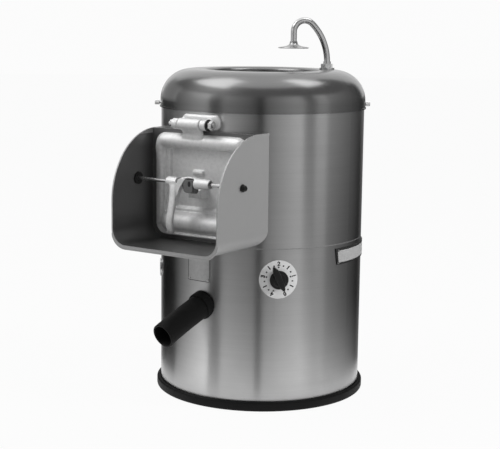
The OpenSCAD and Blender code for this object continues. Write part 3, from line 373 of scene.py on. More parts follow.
class Finish:
    """A material in the making, with its Principled shader, kept in FINISHES by its name."""

    def __init__(self, name, grey, metallic, roughness, **sockets):
        made = FINISHES[name] = bpy.data.materials.new(name)
        made.use_nodes = True
        self.tree = made.node_tree
        self.shader = self.tree.nodes["Principled BSDF"]
        tint = grey if isinstance(grey, tuple) else (grey, grey, grey)
        self.tone = (*tint, 1.0)
        self.rough = roughness
        self.bump = None
        for label, value in (("Base_Color", self.tone), ("Metallic", metallic),
                             ("Roughness", roughness), *sockets.items()):
            self.shader.inputs[label.replace("_", " ")].default_value = value

    def group(self, tree, **values):
        made = self.tree.nodes.new("ShaderNodeGroup")
        made.node_tree = tree
        for label, value in values.items():
            made.inputs[label.replace("_", " ")].default_value = value
        return made.outputs

    def tint(self, mask, grey, amount):
        """Turns the base colour towards a grey where the mask is high."""
        mix = node(self.tree, "ShaderNodeMix", data_type="RGBA", in_A=self.tone,
                   in_B=(grey, grey, grey, 1.0), in_Factor=maths(self.tree, "MULTIPLY", mask, amount))
        self.tone = mix.outputs["Result"]
        self.tree.links.new(self.tone, self.shader.inputs["Base Color"])
        return self

    def wear(self, mask, amount):
        """Adds to the roughness where the mask is high."""
        change = maths(self.tree, "MULTIPLY", mask, amount)
        self.rough = maths(self.tree, "ADD", change, self.rough, clamp=True)
        self.tree.links.new(self.rough, self.shader.inputs["Roughness"])
        return self

    def emboss(self, height, depth):
        """Raises the surface by a height of 0 to 1 times a depth in metres."""
        bump = node(self.tree, "ShaderNodeBump", in_Strength=1.0, in_Distance=depth, in_Height=height)
        if self.bump is not None:
            self.tree.links.new(self.bump, bump.inputs["Normal"])
        self.bump = bump.outputs["Normal"]
        self.tree.links.new(self.bump, self.shader.inputs["Normal"])
        return self

    def grain(self, scale):
        """Even noise on the object's own place, for bumps and tones."""
        return noise_at(self.tree, object_place(self.tree), scale, 3.0, 0.55)


def brushed_steel(name, grey, roughness, length, fineness, depth, lean):
    """Brushed stainless sheet: the lines run round the drum and smear light up and down."""
    steel = Finish(name, grey, 1.0, roughness, Anisotropic=lean, Anisotropic_Rotation=0.25)
    brush = steel.group(BRUSHING, Length=length, Fineness=fineness)
    hand = steel.group(HANDLING, Size=9.0)
    steel.tint(spread(steel.tree, brush["Streaks"], 0.35, 0.7), grey * 0.9, 0.35)
    steel.tint(spread(steel.tree, brush["Lines"], 0.5, 0.8), grey * 0.78, 0.45)
    steel.tint(hand["Marks"], grey * 0.9, 0.5)
    steel.wear(brush["Streaks"], 0.02).wear(hand["Marks"], 0.05)
    steel.emboss(brush["Lines"], depth)


def satin_sheet(name, grey, roughness, metallic):
    """Smooth satin sheet with a fine even grain and faint soft clouds."""
    sheet = Finish(name, grey, metallic, roughness)
    hand = sheet.group(HANDLING, Size=11.0)
    sheet.tint(spread(sheet.tree, sheet.grain(900.0), 0.35, 0.7), grey * 0.9, 0.5)
    sheet.tint(hand["Marks"], grey * 0.9, 0.4)
    sheet.tint(sheet.group(EDGES, Width=0.0016)["Edge"], 0.75, 0.6)
    sheet.wear(hand["Marks"], 0.06)
    sheet.emboss(sheet.grain(1500.0), 0.00001)


def turned_metal(name, grey, roughness, edge=0.3):
    """Bright turned or plated metal with faint handling marks."""
    metal = Finish(name, grey, 1.0, roughness)
    hand = metal.group(HANDLING, Size=30.0)
    worn = metal.group(EDGES, Width=0.0006)
    metal.tint(hand["Marks"], grey * 0.8, 0.5)
    metal.tint(worn["Edge"], min(1.0, grey * 1.25), edge)
    metal.wear(hand["Marks"], 0.12)
    metal.emboss(metal.grain(2600.0), 0.00003)


def cast_metal(name, grey, roughness, depth, metallic=1.0, scale=420.0):
    """Cast metal: a fine sandy skin, brighter on its worn edges."""
    metal = Finish(name, grey, metallic, roughness)
    hand = metal.group(HANDLING, Size=20.0)
    worn = metal.group(EDGES, Width=0.0018)
    metal.tint(spread(metal.tree, metal.grain(scale / 3), 0.4, 0.75), grey * 0.82, 0.7)
    metal.tint(hand["Specks"], grey * 0.6, 0.4)
    metal.tint(worn["Edge"], min(1.0, grey * 1.22), 0.7)
    metal.wear(hand["Marks"], 0.1)
    metal.emboss(metal.grain(scale), depth).emboss(metal.grain(scale * 4), depth / 3)


def moulded(name, grey, roughness, depth, scale=900.0, dust=0.15, **sockets):
    """Rubber, plastic or paint with a fine texture, some dust and pale scuffed edges."""
    skin = Finish(name, grey, 0.0, roughness, **sockets)
    tone = grey if isinstance(grey, float) else sum(grey) / 3
    hand = skin.group(HANDLING, Size=16.0)
    worn = skin.group(EDGES, Width=0.0012)
    skin.tint(hand["Marks"], min(1.0, tone * 1.25), 0.5)
    skin.tint(hand["Dust"], 0.35, dust)
    skin.tint(worn["Edge"], min(1.0, tone * 1.6 + 0.02), 0.4)
    skin.wear(hand["Marks"], 0.12)
    skin.emboss(skin.grain(scale), depth)


# ---- Finishes ----

# The grey or colour and the roughness come first, then what each kind asks for.
brushed_steel("shell_steel", 0.56, 0.27, 5.0, 1300.0, 0.00003, 0.85)
brushed_steel("cover_steel", 0.29, 0.22, 4.0, 900.0, 0.00001, 0.3)
satin_sheet("sheet_steel", 0.45, 0.42, 0.5)
# a darker sheet as painted shade: the chute's inside and the door frame take it to stand in for the
# shade that falls there
satin_sheet("sheet_inside", 0.17, 0.36, 0.7)
cast_metal("cast_aluminium", 0.86, 0.5, 0.00002, 0.6)
cast_metal("cam_steel", 0.2, 0.42, 0.00004, 0.6)
cast_metal("pan_casting", 0.55, 0.5, 0.00006, 0.9)
turned_metal("bright_metal", 0.74, 0.2)
turned_metal("black_nuts", 0.05, 0.34, edge=0.6)
moulded("rubber", 0.004, 0.55, 0.00004, dust=0.03, Specular_IOR_Level=0.2)
turned_metal("machine_steel", 0.45, 0.3)
cast_metal("cast_iron", 0.28, 0.5, 0.0001)
moulded("motor_paint", (0.055, 0.07, 0.08), 0.4, 0.00004)
cast_metal("laminations", 0.3, 0.42, 0.00004)
moulded("capacitor_case", (0.03, 0.035, 0.05), 0.3, 0.00002)
moulded("abrasive", (0.13, 0.125, 0.12), 0.9, 0.0009, 420.0, 0.0)
moulded("black_plastic", 0.008, 0.4, 0.00003, dust=0.04, Specular_IOR_Level=0.35)
moulded("timer_case", (0.62, 0.6, 0.52), 0.45, 0.00002)
turned_metal("timer_spindle", 0.6, 0.25)
moulded("dial_white", 0.8, 0.34, 0.00001, 1200.0, 0.05)
cast_metal("plate_metal", 0.62, 0.34, 0.00002, scale=700.0)
moulded("side_plate_finish", 0.02, 0.3, 0.00002)
moulded("dial_ink", 0.012, 0.5, 0.00001, dust=0.0)
cast_metal("plate_field", 0.4, 0.5, 0.00002, 0.1, 900.0)


def dress_frame():
    """Gives every carried-over node its finish, by the record's slots, but for two: the chamber pan
    gets the duller pan casting, and the door frame gets the dark inner sheet as painted shade for the
    deep recess round the door.
    """
    # the door frame's dark finish is painted shade for the recess round the door
    swapped_finish = {"chamber_pan": "pan_casting", "door_frame": "sheet_inside"}
    for part in frame["record"]["subparts"]:
        mesh = frame["nodes"][part["node"]].data
        mesh.materials.clear()
        mesh.materials.append(FINISHES[swapped_finish.get(part["node"], part["material_slot"])])


# ---- Bumper ----

def make_bumper():
    """The rubber ring that the drum stands in, with rounded edges."""
    inner, edge, lip = drum_r - 6 * MM, 4.5 * MM, 2 * MM
    outline = ([(inner, 0.0)] + corner(bumper_r - edge, edge, edge, -90, 0)
               + corner(bumper_r - edge, bumper_h - edge, edge, 0, 90)
               + corner(drum_r + lip, bumper_h - lip, lip, 90, 180, 4) + [(inner, bumper_h - lip)])
    ring = add_piece("bumper_ring", lathe(outline, sides=160), "root", "rubber")
    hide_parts("base_bumper")


# ---- Chute ----

def chute_path():
    """The bent sheet's outer line from the left top edge to the right, as (x, z)."""
    r, knee, steps = chute_corner, chute_top - chute_nose, 28
    rise = [knee + chute_nose * cos(radians(90 * i / steps)) for i in range(steps + 1)]
    left = [(-chute_half, z) for z in rise + [(knee + chute_base + r) / 2]]
    turn = corner(r - chute_half, chute_base + r, r, 180, 270, 12)
    floor = [(chute_half * share, chute_base) for share in (-0.5, -0.25, 0.0)]
    half = left + turn + floor
    return half + [(-x, z) for x, z in reversed(half[:-1])]


def chute_reach(z):
    """How far forward the chute's side reaches at a height."""
    rise = max(z - (chute_top - chute_nose), 0.0)
    return chute_front - chute_nose + sqrt(max(chute_nose ** 2 - rise ** 2, 0.0))


def outward(path, i):
    """The direction out of the sheet at a point of its path."""
    (x0, z0), (x1, z1) = path[max(i - 1, 0)], path[min(i + 1, len(path) - 1)]
    length = hypot(x1 - x0, z1 - z0)
    return (z1 - z0) / length, (x0 - x1) / length


def chute_hem(path):
    """The floor's front edge, folded down into a narrow hem that fades out in the corners."""
    half_depth, half_sheet, root = 2.8 * MM, 1.1 * MM, 0.6 * MM
    rows = []
    for i, (x, z) in enumerate(path):
        fade = 1 - (z - chute_base) / (0.9 * chute_corner)
        if fade > 0.1:
            ox, oz = outward(path, i)
            half = half_depth * sqrt(fade)
            drop = half - root
            rows.append((x + ox * drop, half_sheet - chute_front, z + oz * drop, half_sheet, half))
    return sweep(rows, (0, 1, 0), 20, 4.0)


def make_chute():
    """The bent sheet, fitted round the drum at the back, with its rounded walls and its hem."""
    path = chute_path()
    columns, gap = 12, 0.3 * MM
    row, last = columns + 1, len(path) - 1
    verts = []
    for inset in (0.0, chute_sheet):
        for i, (x, z) in enumerate(path):
            ox, oz = outward(path, i)
            px, pz = x - ox * inset, z - oz * inset
            back, front = sqrt((drum_r + gap) ** 2 - px * px), chute_reach(z)
            verts += [(px, -(back + (front - back) * k / columns), pz) for k in range(row)]
    skin = len(path) * row
    faces = bands(len(path), row, closed=False)
    faces += [tuple(skin + v for v in quad) for quad in faces]
    rim = [(i * row + k, (i + 1) * row + k) for i in range(last) for k in (0, columns)]
    rim += [(i * row + k, i * row + k + 1) for i in (0, last) for k in range(columns)]
    faces += [(a, b, skin + b, skin + a) for a, b in rim]
    mesh = join(tidy_normals(mesh_of(verts, faces)), chute_hem(path))
    chute = add_piece("chute_sheet", mesh, "root", "sheet_steel")
    # the inside gets the darker, duller sheet: painted shade for the shade that falls inside the chute
    mesh.materials.append(FINISHES["sheet_inside"])
    within, edge_area = Vector((0, 0, chute_base + 130 * MM)), 20 * MM * MM
    for face in mesh.polygons:
        inward = within - face.center
        inside = face.normal.x * inward.x + face.normal.z * inward.z > 0
        if inside and abs(face.normal.y) < 0.5 and face.area > edge_area:
            face.material_index = 1
    add_bevel(chute, 0.7 * MM)
    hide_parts("chute")


# ---- Door ----

door_half = high("door").x
door_base = low("door").z
door_top = chute_top - 7 * MM
door_edge = 22 * MM
flange_back = -low("door_gasket").y
flange = 3.2 * MM
panel_half = 88 * MM
panel_base = door_base + 27 * MM
panel_top = door_top - 20 * MM
panel_front = frame_front - 5 * MM
panel_back = panel_front - 4 * MM
panel_wall = 4 * MM
panel_round = 12 * MM
top_roll = 14.5 * MM
low_roll = 19.4 * MM
low_roll_z = door_base + low_roll + 7.6 * MM
roll_forward = frame_front + 3 * MM
barrel_r = high("door").z - hinge_z
barrel_half = 25 * MM


def facing_plate(outline, back, front):
    return prism(outline, back, front, FACING)


def panel_box(inset, r):
    """The outline of the recessed panel, drawn in by an inset."""
    return round_box(panel_half - inset, panel_base + inset, panel_top - inset, r, 10)


def bar_across(reach, forward, z, w, t, at=0.0, sides=24, square=2.0):
    """A straight bar along X that reaches as far to each side of its middle."""
    rows = [(x, -forward, z, w, t) for x in (at - reach, at, at + reach)]
    return sweep(rows, (0, 1, 0), sides, square)


def door_rolls(high_z):
    """The top roll, turning down into broad side edges, and the low roll with round ends."""
    x, half = door_half - 9.6 * MM, 9.4 * MM
    # across, height, half width, half thickness
    edge = [(x, door_base + 20 * MM, half, 4.5 * MM), (x, high_z - 60 * MM, half, 5.5 * MM),
            (x, high_z - 30 * MM, half + 0.6 * MM, 8 * MM),
            (x - 1.2 * MM, high_z - 14 * MM, 11.4 * MM, 11.5 * MM),
            (x - 7.5 * MM, high_z - 2.6 * MM, 13.6 * MM, 13.6 * MM),
            (x - 22 * MM, high_z, top_roll, top_roll)]
    right = [(x, -roll_forward, z, t, w) for x, z, w, t in edge]
    rows = right + [(0.0, -roll_forward, high_z, top_roll, top_roll)]
    rows += [(-row[0], *row[1:]) for row in reversed(right)]
    cap = corner(door_half - 14 * MM - low_roll, 0.0, low_roll, 8, 90, 8)
    end = [(x, -roll_forward, low_roll_z, r, r) for x, r in cap]
    low_rows = [(-row[0], *row[1:]) for row in end] + end[::-1]
    return sweep(smooth_line(rows), (0, 1, 0), 28), sweep(low_rows, (0, 1, 0), 32)


def door_ribs(high_z):
    """The lip at the foot, a rounded rib above the low roll and one down each side."""
    lip = bar_across(door_half - 26 * MM, flange_back + 4.5 * MM, door_base + 3.6 * MM,
                     5 * MM, 3.4 * MM, sides=20)
    bead = bar_across(80 * MM, panel_front + 1 * MM, low_roll_z + low_roll + 4.4 * MM,
                      6 * MM, 5.6 * MM)
    rise, r = (panel_base + 4 * MM, high_z - 60 * MM, high_z - 4 * MM), 4.6 * MM
    return [lip, bead] + [sweep([(x, -panel_front - 1.5 * MM, z, r, r) for z in rise], (1, 0, 0))
                          for x in (-79 * MM, 79 * MM)]


def door_strap(high_z):
    """The strap from the roll's front up to the hinge barrel, wider at its foot."""
    face = roll_forward + top_roll - 5.5 * MM
    rows = [(hinge_x, -face + 1.5 * MM, high_z + 0.5 * MM, 29 * MM, 3.4 * MM),
            (hinge_x, -face, high_z + 5 * MM, 26 * MM, 4.4 * MM),
            (hinge_x + 0.5 * MM, -face - 1 * MM, high_z + 12 * MM, 22.6 * MM, 5 * MM),
            (hinge_x + 1 * MM, -face - 3 * MM, high_z + 20 * MM, 21.8 * MM, 5.5 * MM),
            (hinge_x + 1 * MM, -hinge_out - 2 * MM, hinge_z - 3 * MM, 22 * MM, 7 * MM)]
    barrel = lathe(knob_profile(barrel_r, -barrel_half, barrel_half, 1.2 * MM),
                   along_x(hinge_x, hinge_out, hinge_z), 48)
    return sweep(smooth_line(rows, 5), (1, 0, 0), square=6.0), barrel


def door_seats():
    """The pad under the lever's cam, and the small lug above it."""
    pad_half = 9.5 * MM
    pad = bar_across(15 * MM, panel_back + 15 * MM, rod_z - 14.2 * MM - pad_half,
                     13.6 * MM, pad_half, at=-4 * MM, square=8.0)
    lug = [(x * MM, -panel_front - 1 * MM, rod_z + 13.2 * MM, w * MM, t * MM)
           for x, w, t in ((-24, 4, 3.6), (-12, 5.4, 4.6), (0, 4, 3.6))]
    return pad, sweep(lug, (0, 1, 0), square=4.0)


def make_door():
    """The cast door: flange, recessed panel, two fat rolls, ribs, strap and barrel."""
    hole, high_z = panel_box(panel_wall, panel_round), door_top - top_roll
    flange_ring = ring_prism(round_box(door_half, door_base, door_top, door_edge, 10), hole,
                             flange_back, flange_back + flange, FACING)
    wall = ring_prism(panel_box(0.0, 14 * MM), hole, panel_back, flange_back + 1 * MM, FACING)
    panel = facing_plate(panel_box(panel_wall - 1 * MM, panel_round), panel_back, panel_front)
    meshes = [flange_ring, wall, panel, *door_rolls(high_z), *door_ribs(high_z),
              *door_strap(high_z), *door_seats()]
    door = cast("door_casting", meshes, 1.3 * MM, 3, "discharge_door", "cast_aluminium")
    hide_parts("door")


# ---- Hinge ----

def hinge_pad():
    """A soft-edged pad on the shell, rounding over towards its face."""
    base, top = low("hinge_bracket").z, chute_top + 31 * MM
    left, right = hinge_x - 35 * MM, high("hinge_bracket").x
    half_w, half_h = (right - left) / 2, (top - base) / 2
    rings = []
    for out, inset in ((-0.6, 0.0), (4.0, 0.0), (6.6, 0.8), (8.3, 2.6), (8.9, 5.0)):
        w, h = half_w - inset * MM, half_h - inset * MM
        rings.append([(x, y, out * MM) for x, y in round_box(w, -h, h, 10.5 * MM)])
    count, faces = len(rings[0]), bands(len(rings), len(rings[0]))
    for first in (0, (len(rings) - 1) * count):
        faces += [(first + k, first + k + 1, first + count - 2 - k, first + count - 1 - k)
                  for k in range(count // 2 - 1)]
    pad = mesh_of([p for ring in rings for p in ring], faces)
    return bend_round(pad, degrees((right + left) / 2 / drum_r), (top + base) / 2, drum_r)


def make_hinge():
    """The bracket on the shell: its pad and a knuckle on each side of the barrel."""
    half_w = 6.6 * MM
    meshes = [hinge_pad()]
    for side in (-1, 1):
        x = hinge_x + side * (barrel_half + 7.8 * MM)
        meshes.append(lathe(knob_profile(barrel_r - 1 * MM, -half_w, half_w, 1 * MM),
                            along_x(x, hinge_out, hinge_z), 40))
        web = ((drum_r - 0.5 * MM, 11 * MM), (drum_r + 12 * MM, 10 * MM), (hinge_out, 9.3 * MM))
        meshes.append(sweep([(x, -forward, hinge_z - 1 * MM, half_w, height)
                             for forward, height in web], (1, 0, 0), square=5.0))
    bracket = cast("hinge_casting", meshes, 1.1 * MM, 3, "root", "cast_aluminium")
    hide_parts("hinge_bracket")


def make_nut(name, r, length, place, slot, dome=0.0):
    """A six-sided nut with turned corners, and perhaps a dome."""
    flats, over = [(r * cos(a), r * sin(a)) for a in (pi * k / 3 for k in range(6))], 0.3 * MM
    turned = [(0, 0), (0.88 * r, -0.2 * MM), (0.88 * r, length + over), (0, length + over)]
    meshes = [prism(flats, 0.0, length, place), lathe(turned, place, 36)]
    if dome:
        meshes.append(lathe([(0, length)] + corner(0, length, dome, 0, 90, 8), place, 36))
    nut = add_piece(name, join(*meshes), "root", slot)
    add_bevel(nut, 0.35 * MM, 30)
    return nut


def make_hinge_nut():
    """The nut on the near end of the hinge pin, and the black washer under it."""
    thick = 3 * MM
    end_x = hinge_x + barrel_half + 15.6 * MM
    nut = make_nut("pin_nut", 9.2 * MM, 8.8 * MM, along_x(end_x + thick, hinge_out, hinge_z),
                   "bright_metal")
    washer = lathe(knob_profile(11.4 * MM, 0.0, thick, 0.5 * MM),
                   along_x(end_x, hinge_out, hinge_z), 40)
    add_piece("pin_washer", washer, "root", "bright_metal", "black_nuts")
    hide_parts("hinge_nut")


# ---- Latch ----

def make_rod_nuts():
    """A domed nut on each end of the cross rod, outside the chute."""
    for name, side in (("rod_nut_right", 1), ("rod_nut_left", -1)):
        place = along_x(side * chute_half, pivot, rod_z)
        if side < 0:
            place = place @ Matrix.Rotation(pi, 4, "X")
        nut = make_nut(name, 7.5 * MM, 4 * MM, place, "black_nuts", dome=6.3 * MM)
        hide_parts("rod_nuts")


def rod_rows(rows):
    """Rows of (across, forward, up, half width, half thickness) in mm, measured from the rod."""
    return [(x * MM, -pivot - forward * MM, rod_z + up * MM, w * MM, t * MM)
            for x, forward, up, w, t in rows]


def make_lever():
    """The forked lever on the cross rod, with its two hubs and its long curved handle."""
    left, left_end = low("latch_lever").x + 2 * MM, -23 * MM
    right, hub_r, bore = 18 * MM, 10.4 * MM, 7.2 * MM
    length = high("latch_lever").x - right
    taper = [(0.0, 0.0), (hub_r - 0.8 * MM, 0.0), (hub_r, 0.8 * MM), (hub_r - 0.6 * MM, 14 * MM),
             (hub_r - 1.4 * MM, length - 0.8 * MM), (hub_r - 2.2 * MM, length), (bore, length),
             (bore, length - 6 * MM), (0.0, length - 6 * MM)]
    right_hub = lathe(taper, along_x(right, pivot, rod_z), 40)
    left_hub = lathe(knob_profile(hub_r - 1.4 * MM, 0.0, left_end - left, 2.2 * MM),
                     along_x(left, pivot, rod_z), 40)
    # the web that fans out from the stem to the rod, notched beside the left hub
    inner = [(-1, 7), (-4, 3), (-8, -3), (-12.5, -10), (-16.5, -19), (-20, -30), (-22, -44)]
    outer = [(-33, -44), (-37, -14), (-38, 0), (-27, 3), (-23, 2), (-20.5, -3), (-17, 5.5), (-10, 8.6)]
    web = facing_plate([(x * MM, rod_z + up * MM) for x, up in inner + outer],
                       pivot - 1 * MM, pivot + 10 * MM)
    # the slim arm that arches over the cam to the right hub
    arch = rod_rows([(-15, 6, 2, 4, 4.4), (-9, 6, 6.6, 4, 3), (-3, 5.4, 9.2, 4, 2.2),
                     (5, 4, 10.6, 4, 1.8), (13, 2, 10, 4, 1.8), (20, 0, 8.4, 4, 2)])
    # the handle, from the left hub down, bowed forward and to the left
    handle = rod_rows([(-29, 3, 0, 8.6, 6), (-28.6, 6, -13, 8.8, 6), (-28, 9, -28, 8.2, 5),
                       (-29, 13, -50, 7.9, 4.2), (-31.8, 15, -73, 8.1, 4),
                       (-32.4, 12, -88, 7.8, 3.8), (-31.8, 8, -95, 6, 3.4),
                       (-31.4, 6.4, -97.5, 3.6, 2.6)])
    meshes = [right_hub, left_hub, web, sweep(smooth_line(arch, 5), (0, 1, 0), 24, 3.0),
              sweep(smooth_line(handle), (1, 0, 0), 28, 3.0)]
    lever = cast("lever_casting", meshes, 0.8 * MM, 4, "latch", "bright_metal", "cast_aluminium")
    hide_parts("latch_lever")


def make_cam():
    """The dark cam between the lever's arms, with its slot drawn as a thin black disc: painted shade,
    not a cut slot.
    """
    body = lathe(knob_profile(8.6 * MM, -22 * MM, 16.5 * MM, 1 * MM), along_x(0, pivot, rod_z), 40)
    drop = sin(radians(50)) * 24
    nose = sweep(rod_rows([(-2, 0, 0, 14, 7), (-2, -15.4, -drop, 14, 4.8)]), (1, 0, 0), 24, 6.0)
    front_x, slot_x, slot_z = 6 * MM, 9 * MM, rod_z - 1 * MM
    front = [(front_x + x, z) for x, z in
             round_box(10.5 * MM, rod_z - 17 * MM, rod_z + 7 * MM, 5 * MM)]
    block = facing_plate(front, pivot - 3 * MM, pivot + 9 * MM)
    slot = facing_plate([(slot_x + 3.2 * MM * cos(a), slot_z + 5.2 * MM * sin(a))
                         for a in (2 * pi * k / 24 for k in range(24))],
                        pivot + 8 * MM, pivot + 9.4 * MM)
    cam = add_piece("cam_block", join(body, nose, block), "latch", "black_nuts", "cam_steel")
    add_bevel(cam, 0.8 * MM)
    # the black disc on the block's face is painted shade where the slot is
    add_piece("cam_slot_shade", slot, "latch", "black_nuts", "dial_ink")
    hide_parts("latch_lever")


# ---- Timer ----

timer_turn = 43.0
timer_z = middle("dial_plate").z
dial_r = drum_r + 1.3 * MM
knob_base = 4.8 * MM


def dial_text(digit, angle, r, size):
    """A plain digit on the dial, upright towards the rim."""
    curve = bpy.data.curves.new("digit", "FONT")
    curve.body = digit
    curve.size = size
    curve.align_x = "CENTER"
    curve.align_y = "CENTER"
    curve.offset = 0.58 * MM
    holder = bpy.data.objects.new("digit", curve)
    mesh = bpy.data.meshes.new_from_object(holder)
    bpy.data.objects.remove(holder)
    mesh.transform(Matrix.Rotation(radians(angle), 4, "Z") @ Matrix.Translation((r, 0, 0))
                   @ Matrix.Rotation(-pi / 2, 4, "Z"))
    return mesh


def tick(angle, near, far, half):
    """A straight mark on the dial, from one radius to another."""
    a = radians(angle)
    out, side = Vector((cos(a), sin(a), 0)), Vector((-sin(a), cos(a), 0))
    verts = [out * r + side * half * s for r, s in ((near, -1), (far, -1), (far, 1), (near, 1))]
    return mesh_of(verts, [(0, 1, 2, 3)])


def make_dial():
    """The dial's digits and ticks, as a skin of ink on its white plate."""
    first, step, last = -66.0, 78.0, 4
    meshes = []
    for i in range(last + 1):
        angle = first + step * i
        meshes.append(dial_text(str(i), angle, 30.2 * MM, 10.5 * MM))
        meshes.append(tick(angle, 22.3 * MM, 25.2 * MM, 1.4 * MM))
        if i < last:
            meshes.append(tick(angle + step / 2, 25 * MM, 33 * MM, 1.15 * MM))
            meshes += [tick(angle + step * share, 25.8 * MM, 28.6 * MM, 1.35 * MM)
                       for share in (0.25, 0.75)]
    marks = join(*meshes)
    bm = bmesh.new()
    bm.from_mesh(marks)
    bmesh.ops.triangulate(bm, faces=bm.faces)
    bmesh.ops.subdivide_edges(bm, edges=[e for e in bm.edges if e.calc_length() > 4 * MM], cuts=1)
    bm.to_mesh(marks)
    bm.free()
    bend_round(marks, timer_turn, timer_z, dial_r + 0.05 * MM)
    piece = add_piece("dial_marks", marks, "root", "black_plastic", "dial_ink")
    thicken = piece.modifiers.new("Ink", "SOLIDIFY")
    thicken.thickness = 0.08 * MM
    thicken.offset = 0.0


def make_knob():
    """The pointer knob: a round skirt and a bar, blunt at one end and pointed at the other."""
    place = on_shell(timer_turn, timer_z)
    skirt = lathe(knob_profile(18 * MM, knob_base, knob_base + 5 * MM, 1.5 * MM), place, 64)
    dome = lathe(knob_profile(12.5 * MM, knob_base, knob_base + 8 * MM, 2 * MM), place, 48)
    turned = place @ Matrix.Rotation(radians(24), 4, "Z")
    # the distance along the bar and its half width there, in mm
    outline = [(27.6, 1.8), (24.5, 3.4), (20, 5.6), (12, 6), (0, 5.6), (-13, 5), (-18, 3.2), (-22, 0.9)]
    rows = [(*(turned @ Vector((0, y * MM, knob_base + 8.5 * MM))), w * MM, 7.2 * MM)
            for y, w in outline]
    bar = sweep(smooth_line(rows, 4), turned.to_3x3() @ Vector((1, 0, 0)), 24, 4.0)
    knob = cast("pointer_knob", [skirt, dome, bar], 0.8 * MM, 2, "dial_knob", "black_plastic")
    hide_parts("timer_knob")


# ---- Spout ----

def make_spout():
    """The gooseneck: a long bend, a tight hook and a short straight end with a spray disc."""
    foot_x, foot_y, turn = 88.5 * MM, 99.3 * MM, radians(228.3)
    place = Matrix.Translation((foot_x, foot_y, 0)) @ Matrix.Rotation(turn, 4, "Z")
    tube_r, start = 6.35 * MM, cover_top + 14 * MM
    long_r, hook_r, bend, drop = 107 * MM, 22.5 * MM, 46, 28 * MM
    line = [(0.0, start)] + corner(long_r, start, -long_r, 0, -bend, 18)[1:]
    hook_x = line[-1][0] + hook_r * cos(radians(bend))
    hook_z = line[-1][1] - hook_r * sin(radians(bend))
    line += corner(hook_x, hook_z, hook_r, 180 - bend, 0, 22)[1:]
    end_x, end_z = hook_x + hook_r, hook_z - drop
    line.append((end_x, end_z + 2 * MM))
    rows = [(*(place @ Vector((x, 0, z))), tube_r, tube_r) for x, z in line]
    neck = add_piece("gooseneck_tube", sweep(rows, place.to_3x3() @ Vector((0, 1, 0)), 32),
                     "spout", "bright_metal")
    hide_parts("gooseneck")
    make_spray_disc(place @ Matrix.Translation((end_x, 0, end_z)))


def make_spray_disc(place):
    """A thin disc with a soft hub above and three rings of holes below, the holes drawn as black dots
    of painted shade.
    """
    outline = [(r * MM, z * MM) for r, z in
               ((0, -5), (29.8, -5), (31, -4.1), (30.4, -3.2), (22, -1.8), (15, -0.4),
                (11, 1.2), (8.8, 3.4), (7.7, 6.6), (7.2, 9), (0, 9))]
    rose = add_piece("spray_rose", lathe(outline, place, 72), "spout", "bright_metal",
                     "machine_steel")
    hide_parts("spray_disc")
    # each hole is a shallow black stud, painted shade where a hole would be
    hole = knob_profile(1.1 * MM, -5.05 * MM, -4.6 * MM, 0.1 * MM)
    holes = [lathe(hole, place @ Matrix.Translation((ring * cos(a), ring * sin(a), 0)), 12)
             for ring, count in ((9 * MM, 6), (17 * MM, 12), (25 * MM, 18))
             for a in (2 * pi * k / count for k in range(count))]
    add_piece("spray_hole_shades", join(*holes), "spout", "black_nuts")


# ---- Drain hose ----

def make_hose():
    """The rubber drain hose with its sleeve, a rolled rim and faint moulded rings."""
    drain_z, slope, yaw, reach, sag = 200 * MM, 20, 8, 113 * MM, 5 * MM
    place = (Matrix.Translation((0, -drum_r, drain_z)) @ Matrix.Rotation(radians(-yaw), 4, "Z")
             @ Matrix.Rotation(radians(90 + slope), 4, "X"))
    out, bore, rim, inside = 23.75 * MM, 20 * MM, 1.7 * MM, -30 * MM
    outline = [(bore, inside), (out, inside)]
    outline += [(out - 0.12 * MM * (k % 2), (12 + 4 * k) * MM) for k in range(23)]
    outline += corner(out - rim, reach - rim, rim, 0, 90, 4)
    outline += corner(bore + rim, reach - rim, rim, 90, 180, 4)
    mesh = lathe(outline, sides=72)
    # the soft hose droops a little towards its end
    for v in mesh.vertices:
        along = max(v.co.z, 0.0) / reach
        v.co = place @ v.co - Vector((0, 0, sag * along * along))
    hose = add_piece("rubber_hose", tidy_normals(mesh), "root", "rubber")
    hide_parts("drain_hose")
    wide, edge = out + 3.25 * MM, 2 * MM
    sleeve = [(out, -8 * MM), (wide, -8 * MM)] + corner(wide - edge, 8 * MM, edge, 0, 90, 4)
    add_piece("hose_sleeve", lathe(sleeve + [(out, 10 * MM)], place, 72), "root", "rubber")


# ---- Plates and screws ----

def curved_patch(turns, rise, r, thick, steps=24, slant=0.0):
    """A plate wrapped round the drum, by two directions and two heights.

    A slant makes it longer at the top and shorter at the foot."""
    middle_z = sum(rise) / 2
    half = radians(turns[1] - turns[0]) / 2 * r
    xs = [half * (2 * i / steps - 1) for i in range(steps + 1)]
    # the four long edges in order round the plate
    edges = [(rise[0], 0.0), (rise[1], 0.0), (rise[1], thick), (rise[0], thick)]
    rings = [[(x * (1 + slant * (z - middle_z)), z - middle_z, out) for z, out in edges] for x in xs]
    return bend_round(solid_of(rings), sum(turns) / 2, middle_z, r)


def make_data_plate_line():
    """A fine dark frame line on the bare data plate."""
    face, line, inset, ink = drum_r + 1.1 * MM, 1.1 * MM, 0.6 * MM, 0.05 * MM
    t0, t1 = -10 + degrees(inset / face), 5 - degrees(inset / face)
    z0, z1 = low("data_plate").z + inset, high("data_plate").z - inset
    wide = degrees(line / face)
    strips = [((t0, t1), (z0, z0 + line)), ((t0, t1), (z1 - line, z1)),
              ((t0, t0 + wide), (z0, z1)), ((t1 - wide, t1), (z0, z1))]
    lines = [curved_patch(turns, rise, face, ink) for turns, rise in strips]
    add_piece("data_plate_line", join(*lines), "root", "black_plastic", "dial_ink")


